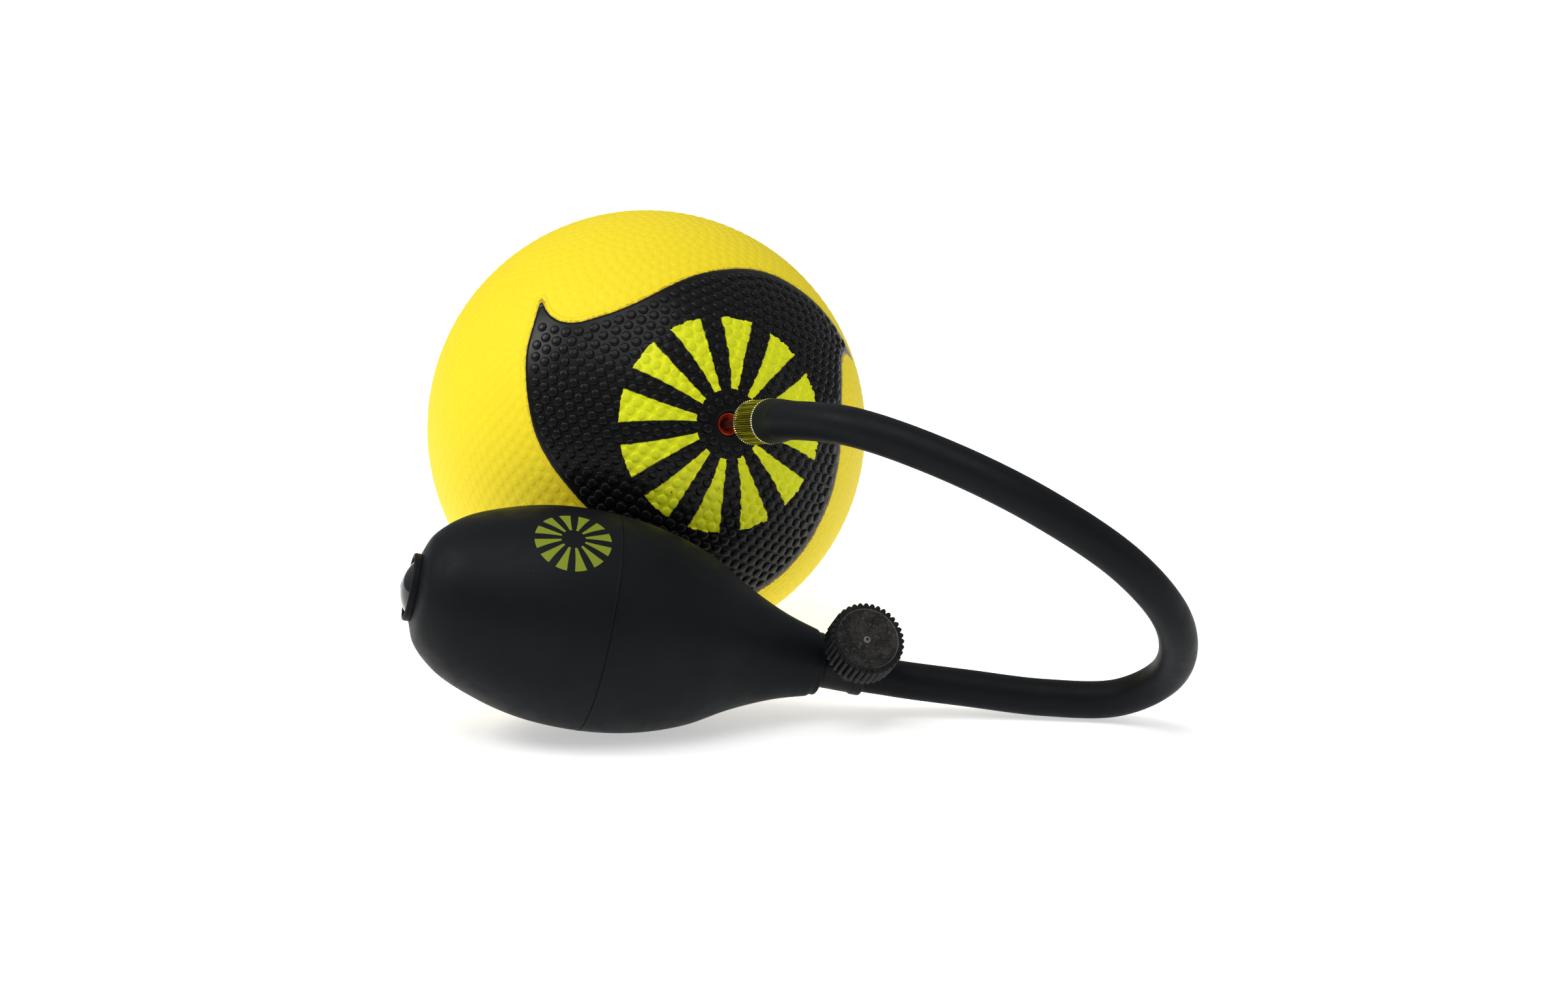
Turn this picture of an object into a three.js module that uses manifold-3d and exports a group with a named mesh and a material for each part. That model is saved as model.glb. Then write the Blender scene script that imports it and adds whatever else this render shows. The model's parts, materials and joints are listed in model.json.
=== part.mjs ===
// Inflatable pebbled rubber ball with its squeeze-bulb pump, needle still in the valve.
// Millimetres, +Z up. The origin is the middle of the ball's contact patch on the floor.

import * as THREE from 'three';
import { mergeVertices } from 'three/addons/utils/BufferGeometryUtils.js';
import Module from 'manifold-3d';

// ---------------------------------------------------------------- driving sizes

// ball
const BALL_DIAMETER = 127;
const BALL_WALL = 2.5;
const BALL_SAG = 0.5; // how far the ball flattens under its own weight

// valve in the ball wall, measured outwards from the ball's centre
const VALVE_AZIMUTH = 24; // degrees from -Y towards +X
const VALVE_ELEVATION = 12; // degrees above the horizon
const VALVE_NECK_RADIUS = 3;
const VALVE_NECK_RECESS = 1; // from the ball's surface down to the rubber
const VALVE_FLANGE_RADIUS = 9;
const VALVE_FLANGE_THICKNESS = 2.6;
const VALVE_TUBE_RADIUS = 5.5;
const VALVE_DEPTH = 15.5; // from the ball's surface to the inner end
const VALVE_FLOOR = 1.6;
const VALVE_ROOF = 1.2; // from the ball's inner face down to the plug
const VALVE_MOUTH_GAP = 1.3; // round the needle where it enters the rubber
const VALVE_THROAT_GAP = 0.5; // round the needle just above the plug
const VALVE_OUTLET_GAP = 0.9; // round the needle in the floor
const PLUG_RADIUS = 3;

// needle
const NEEDLE_RADIUS = 1.1;
const NEEDLE_BORE_RADIUS = 0.6;
const NEEDLE_REACH = 20; // inside the ball's surface
const NEEDLE_TIP_FLAT = 0.66; // radius of the blunt end
const NEEDLE_TIP_LENGTH = 1.1;
const NEEDLE_SIDE_HOLE_RADIUS = 0.54;
const NEEDLE_SIDE_HOLE_POSITION = 3; // from the tip
const NEEDLE_SHOULDER_RADIUS = 3.2;
const NEEDLE_SHOULDER_THICKNESS = 1.8;
const NEEDLE_STUD_RADIUS = 2.4;
const NEEDLE_STUD_LENGTH = 6.5;
const WASHER_RADIUS = 4;
const WASHER_THICKNESS = 0.8;

// knurled connector
const CONNECTOR_STANDOFF = 16; // from the ball's surface to its back face
const CONNECTOR_RADIUS = 6.1;
const CONNECTOR_LENGTH = 12.6;
const KNURL_RIDGES = 60;
const KNURL_DEPTH = 0.25;
const CONNECTOR_CHAMFER = 0.6;

// hose and its barbs
const HOSE_DIAMETER = 10;
const HOSE_BORE_DIAMETER = 6;
const BARB_RADIUS = 2.5;
const BARB_LENGTH = 8;
const BARB_RINGS = 3;
const BARB_STEP = 0.5; // how far each ring stands out
const BARB_LIP = 0.3;
const AIRWAY_RADIUS = 1.5;

// bulb, measured along its axis from the collar's face
const BULB_LENGTH = 111.2;
const BULB_DIAMETER = 57.8;
const BULB_WALL = 2.6;
const BULB_SAG = 0.3;
const BULB_YAW = 9; // degrees, neck end swung away from the front
const BULB_PITCH = 13.5; // degrees, neck end lower
const BULB_START = -57.6; // x of the collar's face
const BULB_CLEARANCE = 1.6; // between the ball and the bulb, seen from above
const COLLAR_RADIUS = 8.9;
const COLLAR_LENGTH = 1.9;
const COLLAR_ROUNDING = 0.5;
const COLLAR_RECESS_RADIUS = 7.9;
const COLLAR_RECESS_DEPTH = 3;
const INTAKE_BORE_RADIUS = 6;
const INTAKE_BOSS_DEPTH = 9;
const NECK_RADIUS = 8.4;
const NECK_BORE_RADIUS = 5.7;
const NECK_BORE_LENGTH = 12.5;

// outline of the bulb between collar and neck: share of its length, share of its radius
const BULB_OUTLINE = [
  [0.038, 0.502],
  [0.1, 0.713],
  [0.2, 0.875],
  [0.3, 0.969],
  [0.4, 1],
  [0.5, 0.983],
  [0.6, 0.913],
  [0.7, 0.779],
  [0.8, 0.567],
  [0.9, 0.401],
];

// intake valve in the collar
const CAP_RISE = 1.9; // how far the dome stands out of the collar
const CAP_WALL = 0.9;
const CAP_HOLE_RADIUS = 0.8;
const INTAKE_FLANGE_THICKNESS = 1;
const INTAKE_BARREL_LENGTH = 5.6;
const INTAKE_SEAT_DEPTH = 2.6; // from the flange to the seat that the flap closes
const FLAP_CHAMBER_RADIUS = 4.2;
const FLAP_SIDE_GAP = 0.7; // between a flap and its chamber's wall
const FLAP_THICKNESS = 0.6;
const FLAP_LIFT = 1;
const CAGE_THICKNESS = 0.9;
const CAGE_HOLE_RADIUS = 1.8;

// release valve between neck and hose
const BODY_RADIUS = 6.5;
const BODY_LENGTH = 9;
const HOSE_STOP_RADIUS = 6.8;
const HOSE_STOP_THICKNESS = 3;
const SPIGOT_LENGTH = 12;
const OUTLET_RING_THICKNESS = 1.2;
const BOSS_POSITION = 6.9; // from the neck's end to the screw's axis
const BOSS_RADIUS = 5;
const BOSS_HEIGHT = 14; // from the body's axis
const SCREW_TILT = 38; // degrees, screw axis above the horizontal
const SCREW_RADIUS = 2;
const ORIFICE_RADIUS = 0.8;
const ORIFICE_HEIGHT = 2.2; // from the body's axis to the seat round the orifice
const VENT_RADIUS = 0.7;
const VENT_HEIGHT = 8.2;
const PAD_RADIUS = 1.6;
const PAD_THICKNESS = 0.8;
const RING_HEIGHT = 10.6; // from the body's axis to the middle of the O-ring
const RING_SECTION_RADIUS = 0.75;
const RING_GROOVE_DEPTH = 0.2; // in the screw
const KNOB_RADIUS = 10;
const KNOB_THICKNESS = 8;
const KNOB_SCALLOPS = 36;
const KNOB_SCALLOP_DEPTH = 0.9;
const KNOB_RIM_WIDTH = 1.8;
const KNOB_DISH_DEPTH = 1.1;
const KNOB_DISH_WALL = 0.2; // how far the dish's wall leans in
const KNOB_CENTRE_RADIUS = 0.6; // flat spot in the middle of the dish
const KNOB_ROUNDING = 0.7;
const KNOB_GRIP_DEPTH = 4.5; // how far the screw is pressed into the knob

// gaps
const REST_GAP = 0.3; // between pieces that touch on the real object
const FIT_GAP = 0.2; // between a piece and the bore that grips it
const RUNNING_GAP = 0.1; // round a piece that slides or turns
const PRESS_GAP = 0.05; // round a screw or ring that is pressed in

// hose route after the connector and before the release valve
const HOSE_LEAD = 5;
const HOSE_ROUTE = [
  [57, -108.5, 86],
  [79.5, -119, 80],
  [103, -126, 69.5],
  [125, -124, 54],
  [138.5, -112.5, 36],
  [140, -91.5, 16.5],
  [128.5, -80, 6.5],
  [109.5, -76.5, 5.5],
  [89, -74.5, 7.5],
];

// facets
const BALL_SEGMENTS = 42;
const BULB_SEGMENTS = 40;
const ROUND_SEGMENTS = 32;
const SMALL_SEGMENTS = 20;
const HOSE_SEGMENTS = 12;
const HOSE_STEPS = 56;
const BULB_STEPS = 22;
const HOLE_SEGMENTS = 12;

// ---------------------------------------------------------------- derived sizes

const ballRadius = BALL_DIAMETER / 2;
const ballInside = ballRadius - BALL_WALL;
const ballHeight = ballRadius - BALL_SAG;

const connectorBack = ballRadius + CONNECTOR_STANDOFF;
const connectorFront = connectorBack + CONNECTOR_LENGTH;
const washerBack = connectorBack - RUNNING_GAP - WASHER_THICKNESS;
const shoulderFront = washerBack - RUNNING_GAP;

const hoseRadius = HOSE_DIAMETER / 2;
const flapRadius = FLAP_CHAMBER_RADIUS - FLAP_SIDE_GAP;
const bulbRadius = BULB_DIAMETER / 2;
const bodyStart = BULB_LENGTH + REST_GAP;
const bodyEnd = BULB_LENGTH + BODY_LENGTH;
const hoseStopFace = bodyEnd + HOSE_STOP_THICKNESS;
const screwPosition = BULB_LENGTH + BOSS_POSITION;
const knobUnderside = BOSS_HEIGHT + REST_GAP;
const knobFace = knobUnderside + KNOB_THICKNESS;

// ---------------------------------------------------------------- solid modelling helpers

const wasm = await Module();
wasm.setup();

const WELD_DISTANCE = 1e-4;
const LARGE = 400;
const CUT_MARGIN = 1; // how far a cut runs past the face it opens

function solidFrom(geometry) {
  const bare = geometry.clone();
  bare.deleteAttribute('normal');
  bare.deleteAttribute('uv');
  const welded = mergeVertices(bare, WELD_DISTANCE);
  const kept = [];
  const corners = welded.index.array;
  for (let i = 0; i < corners.length; i += 3) {
    const [a, b, c] = corners.slice(i, i + 3);
    if (a !== b && b !== c && c !== a) kept.push(a, b, c);
  }
  const vertProperties = new Float32Array(welded.attributes.position.array);
  const triVerts = new Uint32Array(kept);
  return new wasm.Manifold(new wasm.Mesh({ numProp: 3, vertProperties, triVerts }));
}

function geometryFrom(manifold) {
  const mesh = manifold.getMesh();
  const geometry = new THREE.BufferGeometry();
  geometry.setAttribute('position', new THREE.BufferAttribute(mesh.vertProperties, 3));
  geometry.setIndex(new THREE.BufferAttribute(mesh.triVerts, 1));
  geometry.computeVertexNormals();
  return geometry;
}

// solid of revolution about +Z; the outline is [radius, z] pairs, anticlockwise
function turned(outline, segments = ROUND_SEGMENTS) {
  const points = outline.map(([radius, z]) => new THREE.Vector2(radius, z));
  const [first] = points;
  const last = points.at(-1);
  const meetsAxis = first.x === 0 && last.x === 0;
  if (!meetsAxis) points.push(first.clone());
  return solidFrom(new THREE.LatheGeometry(points, segments).rotateX(Math.PI / 2));
}

function rod(radius, from, to, segments = ROUND_SEGMENTS) {
  return turned([[0, from], [radius, from], [radius, to], [0, to]], segments);
}

function sphere(radius, segments) {
  const rings = sphereRings(segments);
  return solidFrom(new THREE.SphereGeometry(radius, segments, rings).rotateX(Math.PI / 2));
}

function sphereRings(segments) {
  return Math.round(segments * 2 / 3);
}

// how far the middle of a sphere's facet lies inside the true sphere
function facetDip(radius, segments) {
  const halfStep = Math.PI / segments;
  const halfRing = Math.PI / 2 / sphereRings(segments);
  return radius * (1 - Math.cos(halfStep) * Math.cos(halfRing));
}

// straight prism along +Z with a ridged outline
function ridgedPrism(ridges, tipRadius, valleyRadius, from, to, pointsPerRidge) {
  const count = ridges * pointsPerRidge;
  const middle = (tipRadius + valleyRadius) / 2;
  const swing = (tipRadius - valleyRadius) / 2;
  const outline = [];
  for (let i = 0; i < count; i += 1) {
    const turn = i / count * Math.PI * 2;
    const radius = middle + swing * Math.cos(turn * ridges);
    outline.push(new THREE.Vector2(radius * Math.cos(turn), radius * Math.sin(turn)));
  }
  const depth = to - from;
  const prism = new THREE.ExtrudeGeometry(new THREE.Shape(outline), { depth, bevelEnabled: false });
  return solidFrom(prism.translate(0, 0, from));
}

// the same solid, moved by a matrix
function moved(manifold, matrix) {
  return manifold.transform(matrix.elements);
}

// what is left of a solid above the floor, for a solid that is drawn in its own frame
function restedOnFloor(manifold, toWorld) {
  const above = new THREE.BoxGeometry(LARGE, LARGE, LARGE).translate(0, 0, LARGE / 2);
  const inWorld = moved(manifold, toWorld);
  return moved(inWorld.intersect(solidFrom(above)), toWorld.clone().invert());
}

function frameAt(origin, alongZ, alongX) {
  const z = alongZ.clone().normalize();
  const y = z.clone().cross(alongX).normalize();
  const x = y.clone().cross(z);
  return new THREE.Matrix4().makeBasis(x, y, z).setPosition(origin);
}

function addMesh(parent, name, manifold, material) {
  const mesh = new THREE.Mesh(geometryFrom(manifold), material);
  mesh.name = name;
  parent.add(mesh);
}

// ---------------------------------------------------------------- materials

function material(color, roughness, metalness = 0) {
  return new THREE.MeshStandardMaterial({ color, roughness, metalness });
}

const yellowRubber = material(0xf2d51c, 0.5);
const redRubber = material(0xb4301a, 0.5);
const plugRubber = material(0x8e2a1c, 0.6);
const blackRubber = material(0x1b1d21, 0.6);
const blackPlastic = material(0x1c1c1e, 0.45);
const knobPlastic = material(0x2b2a29, 0.55);
const glossPlastic = material(0x0c0d10, 0.12);
const sealRubber = material(0x131313, 0.7);
const flapRubber = material(0x5b5b58, 0.6);
const brass = material(0xb7a23a, 0.3, 1);
const steel = material(0xc4c6c8, 0.22, 1);

// ---------------------------------------------------------------- frames

const valveAzimuth = THREE.MathUtils.degToRad(VALVE_AZIMUTH);
const valveElevation = THREE.MathUtils.degToRad(VALVE_ELEVATION);
const valveAxis = new THREE.Vector3(
  Math.sin(valveAzimuth) * Math.cos(valveElevation),
  -Math.cos(valveAzimuth) * Math.cos(valveElevation),
  Math.sin(valveElevation),
);
const ballCentre = new THREE.Vector3(0, 0, ballHeight);
const up = new THREE.Vector3(0, 0, 1);

// local +Z runs outwards through the valve, from the ball's centre
const valveFrame = frameAt(ballCentre, valveAxis, up);

function bulbCurve() {
  const points = [
    new THREE.Vector2(COLLAR_RADIUS + REST_GAP, COLLAR_LENGTH),
    ...BULB_OUTLINE.map(([along, out]) => new THREE.Vector2(out * bulbRadius, along * BULB_LENGTH)),
    new THREE.Vector2(NECK_RADIUS, BULB_LENGTH),
  ];
  return new THREE.SplineCurve(points);
}

const bulbProfile = bulbCurve();
const yaw = THREE.MathUtils.degToRad(BULB_YAW);
const pitch = THREE.MathUtils.degToRad(BULB_PITCH);
const pumpAxis = new THREE.Vector3(
  Math.cos(yaw) * Math.cos(pitch),
  Math.sin(yaw) * Math.cos(pitch),
  -Math.sin(pitch),
);

// height of the collar's centre with the bulb lying on the floor
function collarHeight() {
  const drops = bulbProfile.getPoints(200).map(
    ({ x, y }) => y * Math.sin(pitch) + x * Math.cos(pitch),
  );
  return Math.max(...drops) - BULB_SAG;
}

const collarCentre = new THREE.Vector3(
  BULB_START,
  -(ballRadius + bulbRadius + BULB_CLEARANCE),
  collarHeight(),
);

// local +Z runs along the bulb towards the neck, local +X up, local +Y to the front
const pumpFrame = frameAt(collarCentre, pumpAxis, up);

// inside the pump's frame: local +Z runs outwards along the release screw
const screwTilt = THREE.MathUtils.degToRad(SCREW_TILT);
const screwAxis = new THREE.Vector3(Math.sin(screwTilt), Math.cos(screwTilt), 0);
const screwFrame = frameAt(new THREE.Vector3(0, 0, screwPosition), screwAxis, up);

// ---------------------------------------------------------------- ball and its valve

function ballSkin() {
  const shell = sphere(ballRadius, BALL_SEGMENTS).subtract(sphere(ballInside, BALL_SEGMENTS));
  const hole = rod(VALVE_NECK_RADIUS + REST_GAP, ballInside - VALVE_NECK_RADIUS, LARGE, SMALL_SEGMENTS);
  const towardsValve = frameAt(new THREE.Vector3(), valveAxis, up);
  const drilled = shell.subtract(moved(hole, towardsValve));
  return restedOnFloor(drilled, new THREE.Matrix4().setPosition(ballCentre));
}

function valveHousing() {
  const top = ballRadius - VALVE_NECK_RECESS;
  const bottom = ballRadius - VALVE_DEPTH;
  const wallGap = REST_GAP + facetDip(ballInside, BALL_SEGMENTS);
  const underWall = Math.sqrt(ballInside ** 2 - VALVE_FLANGE_RADIUS ** 2) - wallGap;
  const roof = ballInside - VALVE_ROOF;
  const chamber = PLUG_RADIUS + FIT_GAP;
  return turned([
    [NEEDLE_RADIUS + VALVE_OUTLET_GAP, bottom],
    [VALVE_TUBE_RADIUS, bottom],
    [VALVE_TUBE_RADIUS, underWall - VALVE_FLANGE_THICKNESS],
    [VALVE_FLANGE_RADIUS, underWall - VALVE_FLANGE_THICKNESS],
    [VALVE_FLANGE_RADIUS, underWall],
    [VALVE_NECK_RADIUS, ballInside - wallGap],
    [VALVE_NECK_RADIUS, top],
    [NEEDLE_RADIUS + VALVE_MOUTH_GAP, top],
    [NEEDLE_RADIUS + VALVE_THROAT_GAP, roof],
    [chamber, roof],
    [chamber, bottom + VALVE_FLOOR],
    [NEEDLE_RADIUS + VALVE_OUTLET_GAP, bottom + VALVE_FLOOR],
  ], SMALL_SEGMENTS);
}

function valvePlug() {
  const bottom = ballRadius - VALVE_DEPTH + VALVE_FLOOR + FIT_GAP;
  const top = ballInside - VALVE_ROOF - FIT_GAP;
  const bore = NEEDLE_RADIUS + RUNNING_GAP;
  return turned([[bore, bottom], [PLUG_RADIUS, bottom], [PLUG_RADIUS, top], [bore, top]], SMALL_SEGMENTS);
}

// ---------------------------------------------------------------- needle and connector

function needle() {
  const tip = ballRadius - NEEDLE_REACH;
  const studTop = shoulderFront + NEEDLE_STUD_LENGTH;
  const shoulderBack = shoulderFront - NEEDLE_SHOULDER_THICKNESS;
  const outside = turned([
    [0, tip],
    [NEEDLE_TIP_FLAT, tip + NEEDLE_TIP_LENGTH / 4],
    [NEEDLE_RADIUS, tip + NEEDLE_TIP_LENGTH],
    [NEEDLE_RADIUS, shoulderBack],
    [NEEDLE_SHOULDER_RADIUS, shoulderBack],
    [NEEDLE_SHOULDER_RADIUS, shoulderFront],
    [NEEDLE_STUD_RADIUS, shoulderFront],
    [NEEDLE_STUD_RADIUS, studTop],
    [0, studTop],
  ], SMALL_SEGMENTS);
  const holeHeight = tip + NEEDLE_SIDE_HOLE_POSITION;
  const airway = rod(NEEDLE_BORE_RADIUS, holeHeight - CUT_MARGIN, studTop + CUT_MARGIN, SMALL_SEGMENTS);
  const sideHole = rod(NEEDLE_SIDE_HOLE_RADIUS, -LARGE / 2, 0, HOLE_SEGMENTS);
  const across = new THREE.Matrix4().makeRotationX(Math.PI / 2).setPosition(0, 0, holeHeight);
  return outside.subtract(airway).subtract(moved(sideHole, across));
}

function needleWasher() {
  const hole = NEEDLE_STUD_RADIUS + RUNNING_GAP;
  const top = washerBack + WASHER_THICKNESS;
  return turned([[hole, washerBack], [WASHER_RADIUS, washerBack], [WASHER_RADIUS, top], [hole, top]]);
}

// hollow stem with saw-tooth rings that grips the hose, starting at z = from
function barbOutline(from) {
  const pitchOfRings = BARB_LENGTH / BARB_RINGS;
  const outline = [];
  for (let ring = 0; ring < BARB_RINGS; ring += 1) {
    const start = from + ring * pitchOfRings;
    outline.push([BARB_RADIUS, start + BARB_LIP]);
    outline.push([BARB_RADIUS - BARB_STEP, start + pitchOfRings]);
  }
  return outline;
}

function connector() {
  const knurled = ridgedPrism(
    KNURL_RIDGES, CONNECTOR_RADIUS, CONNECTOR_RADIUS - KNURL_DEPTH, connectorBack, connectorFront, 2,
  );
  const shape = turned([
    [0, connectorBack],
    [CONNECTOR_RADIUS - CONNECTOR_CHAMFER, connectorBack],
    [CONNECTOR_RADIUS, connectorBack + CONNECTOR_CHAMFER],
    [CONNECTOR_RADIUS, connectorFront - CONNECTOR_CHAMFER],
    [CONNECTOR_RADIUS - CONNECTOR_CHAMFER, connectorFront],
    [0, connectorFront],
  ], KNURL_RIDGES);
  const barb = turned([
    [0, connectorFront - CUT_MARGIN],
    [BARB_RADIUS - BARB_STEP, connectorFront - CUT_MARGIN],
    ...barbOutline(connectorFront),
    [0, connectorFront + BARB_LENGTH],
  ], SMALL_SEGMENTS);
  const socketRadius = NEEDLE_STUD_RADIUS + RUNNING_GAP;
  const socketEnd = connectorBack + NEEDLE_STUD_LENGTH;
  const socket = rod(socketRadius, connectorBack - CUT_MARGIN, socketEnd, SMALL_SEGMENTS);
  const barbEnd = connectorFront + BARB_LENGTH;
  const airway = rod(AIRWAY_RADIUS, connectorBack, barbEnd + CUT_MARGIN, SMALL_SEGMENTS);
  return knurled.intersect(shape).add(barb).subtract(socket).subtract(airway);
}

// ---------------------------------------------------------------- hose

function hoseCurve() {
  const exit = new THREE.Vector3(0, 0, connectorFront + REST_GAP);
  const lead = new THREE.Vector3(0, 0, HOSE_LEAD);
  const along = (frame, start, steps) => start.clone().addScaledVector(lead, steps).applyMatrix4(frame);
  const arrival = new THREE.Vector3(0, 0, hoseStopFace + REST_GAP);
  return new THREE.CatmullRomCurve3([
    along(valveFrame, exit, 0),
    along(valveFrame, exit, 1),
    along(valveFrame, exit, 2),
    ...HOSE_ROUTE.map((point) => new THREE.Vector3(...point)),
    along(pumpFrame, arrival, 2),
    along(pumpFrame, arrival, 1),
    along(pumpFrame, arrival, 0),
  ], false, 'centripetal');
}

function hose() {
  const section = new THREE.Shape().absarc(0, 0, hoseRadius, 0, Math.PI * 2);
  section.holes.push(new THREE.Path().absarc(0, 0, HOSE_BORE_DIAMETER / 2, 0, Math.PI * 2, true));
  return solidFrom(new THREE.ExtrudeGeometry(section, {
    extrudePath: hoseCurve(),
    steps: HOSE_STEPS,
    curveSegments: HOSE_SEGMENTS / 2,
  }));
}

// ---------------------------------------------------------------- bulb

function bulb() {
  const outside = [];
  const inside = [];
  for (let i = 0; i <= BULB_STEPS; i += 1) {
    const { x, y } = bulbProfile.getPoint(i / BULB_STEPS);
    const tangent = bulbProfile.getTangent(i / BULB_STEPS);
    outside.push([x, y]);
    inside.unshift([x - tangent.y * BULB_WALL, y + tangent.x * BULB_WALL]);
  }
  const cavityStart = INTAKE_BOSS_DEPTH - BULB_WALL;
  const cavityEnd = BULB_LENGTH - NECK_BORE_LENGTH;
  const cavity = inside.filter(([, y]) => y > cavityStart && y < cavityEnd - CUT_MARGIN);
  const shell = turned([
    [COLLAR_RECESS_RADIUS, 0],
    [COLLAR_RADIUS - COLLAR_ROUNDING, 0],
    [COLLAR_RADIUS, COLLAR_ROUNDING],
    [COLLAR_RADIUS, COLLAR_LENGTH - COLLAR_ROUNDING],
    ...outside,
    [NECK_BORE_RADIUS, BULB_LENGTH],
    [NECK_BORE_RADIUS, cavityEnd],
    ...cavity,
    [COLLAR_RADIUS, INTAKE_BOSS_DEPTH],
    [INTAKE_BORE_RADIUS, INTAKE_BOSS_DEPTH],
    [INTAKE_BORE_RADIUS, COLLAR_RECESS_DEPTH],
    [COLLAR_RECESS_RADIUS, COLLAR_RECESS_DEPTH],
  ], BULB_SEGMENTS);
  return restedOnFloor(shell, pumpFrame);
}

// ---------------------------------------------------------------- intake valve

const intakeFlangeBack = COLLAR_RECESS_DEPTH - REST_GAP;
const intakeFlangeFront = intakeFlangeBack - INTAKE_FLANGE_THICKNESS;
const intakeSeat = intakeFlangeFront + INTAKE_SEAT_DEPTH;
const intakeEnd = intakeFlangeBack + INTAKE_BARREL_LENGTH;

function intakeBody() {
  const barrelRadius = INTAKE_BORE_RADIUS - FIT_GAP;
  const flangeRadius = COLLAR_RECESS_RADIUS - FIT_GAP;
  return turned([
    [AIRWAY_RADIUS, intakeFlangeFront],
    [flangeRadius, intakeFlangeFront],
    [flangeRadius, intakeFlangeBack],
    [barrelRadius, intakeFlangeBack],
    [barrelRadius, intakeEnd],
    [FLAP_CHAMBER_RADIUS, intakeEnd],
    [FLAP_CHAMBER_RADIUS, intakeSeat],
    [AIRWAY_RADIUS, intakeSeat],
  ]);
}

function intakeCap() {
  const rimRadius = COLLAR_RECESS_RADIUS - FIT_GAP;
  const rim = intakeFlangeFront - FIT_GAP;
  const height = rim + CAP_RISE;
  const outerRadius = (rimRadius ** 2 + height ** 2) / (2 * height);
  const innerRadius = outerRadius - CAP_WALL;
  const centre = outerRadius - CAP_RISE;
  const innerRimRadius = Math.sqrt(innerRadius ** 2 - (centre - rim) ** 2);
  const onDome = (radius, out) => [out, centre - Math.sqrt(radius ** 2 - out ** 2)];
  const steps = 6;
  const outside = [];
  const inside = [];
  for (let i = 0; i <= steps; i += 1) {
    const outwards = (edge) => THREE.MathUtils.lerp(CAP_HOLE_RADIUS, edge, i / steps);
    outside.push(onDome(outerRadius, outwards(rimRadius)));
    inside.unshift(onDome(innerRadius, outwards(innerRimRadius)));
  }
  return turned([...outside, ...inside]);
}

// loose disc that seals against the seat at z = seat
function flap(seat) {
  const underside = seat + RUNNING_GAP;
  return rod(flapRadius, underside, underside + FLAP_THICKNESS, SMALL_SEGMENTS);
}

function intakeCage() {
  const from = intakeSeat + RUNNING_GAP * 2 + FLAP_THICKNESS + FLAP_LIFT;
  const rimRadius = FLAP_CHAMBER_RADIUS - FIT_GAP;
  return turned([
    [CAGE_HOLE_RADIUS, from],
    [rimRadius, from],
    [rimRadius, from + CAGE_THICKNESS],
    [CAGE_HOLE_RADIUS, from + CAGE_THICKNESS],
  ], SMALL_SEGMENTS);
}

// ---------------------------------------------------------------- release valve

const spigotStart = BULB_LENGTH - SPIGOT_LENGTH;
const outletSeat = spigotStart + OUTLET_RING_THICKNESS;
const ringBoreRadius = SCREW_RADIUS - RING_GROOVE_DEPTH + RING_SECTION_RADIUS * 2;
const ringCentreRadius = ringBoreRadius - RUNNING_GAP - RING_SECTION_RADIUS;
const ringGroove = RING_SECTION_RADIUS + RUNNING_GAP;

function releaseBody() {
  const chamberEnd = outletSeat + RUNNING_GAP * 2 + FLAP_THICKNESS + FLAP_LIFT;
  const barrel = turned([
    [0, spigotStart],
    [NECK_BORE_RADIUS - FIT_GAP, spigotStart],
    [NECK_BORE_RADIUS - FIT_GAP, bodyStart],
    [BODY_RADIUS, bodyStart],
    [BODY_RADIUS, bodyEnd],
    [HOSE_STOP_RADIUS, bodyEnd],
    [HOSE_STOP_RADIUS, hoseStopFace],
    [BARB_RADIUS - BARB_STEP, hoseStopFace],
    ...barbOutline(hoseStopFace),
    [0, hoseStopFace + BARB_LENGTH],
  ]);
  const boss = moved(rod(BOSS_RADIUS, 0, BOSS_HEIGHT), screwFrame);
  const airway = rod(AIRWAY_RADIUS, spigotStart, hoseStopFace + BARB_LENGTH + CUT_MARGIN, SMALL_SEGMENTS);
  const chamber = rod(FLAP_CHAMBER_RADIUS, spigotStart - CUT_MARGIN, chamberEnd);
  const screwHole = turned([
    [0, 0],
    [ORIFICE_RADIUS, 0],
    [ORIFICE_RADIUS, ORIFICE_HEIGHT],
    [SCREW_RADIUS + RUNNING_GAP, ORIFICE_HEIGHT],
    [SCREW_RADIUS + RUNNING_GAP, RING_HEIGHT - ringGroove],
    [ringBoreRadius, RING_HEIGHT - ringGroove],
    [ringBoreRadius, BOSS_HEIGHT + CUT_MARGIN],
    [0, BOSS_HEIGHT + CUT_MARGIN],
  ], SMALL_SEGMENTS);
  const sideways = new THREE.Matrix4().makeRotationX(Math.PI / 2).setPosition(0, 0, VENT_HEIGHT);
  const vent = moved(rod(VENT_RADIUS, 0, BOSS_RADIUS * 2, HOLE_SEGMENTS), sideways);
  return barrel.add(boss).subtract(airway).subtract(chamber)
    .subtract(moved(screwHole.add(vent), screwFrame));
}

// ring pressed into the spigot's mouth, which the outlet flap closes from inside
function outletRing() {
  const rimRadius = FLAP_CHAMBER_RADIUS - FIT_GAP;
  return turned([
    [AIRWAY_RADIUS, spigotStart],
    [rimRadius, spigotStart],
    [rimRadius, outletSeat],
    [AIRWAY_RADIUS, outletSeat],
  ], SMALL_SEGMENTS);
}

function releasePad() {
  const seat = ORIFICE_HEIGHT + RUNNING_GAP;
  return rod(PAD_RADIUS, seat, seat + PAD_THICKNESS, SMALL_SEGMENTS);
}

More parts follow.
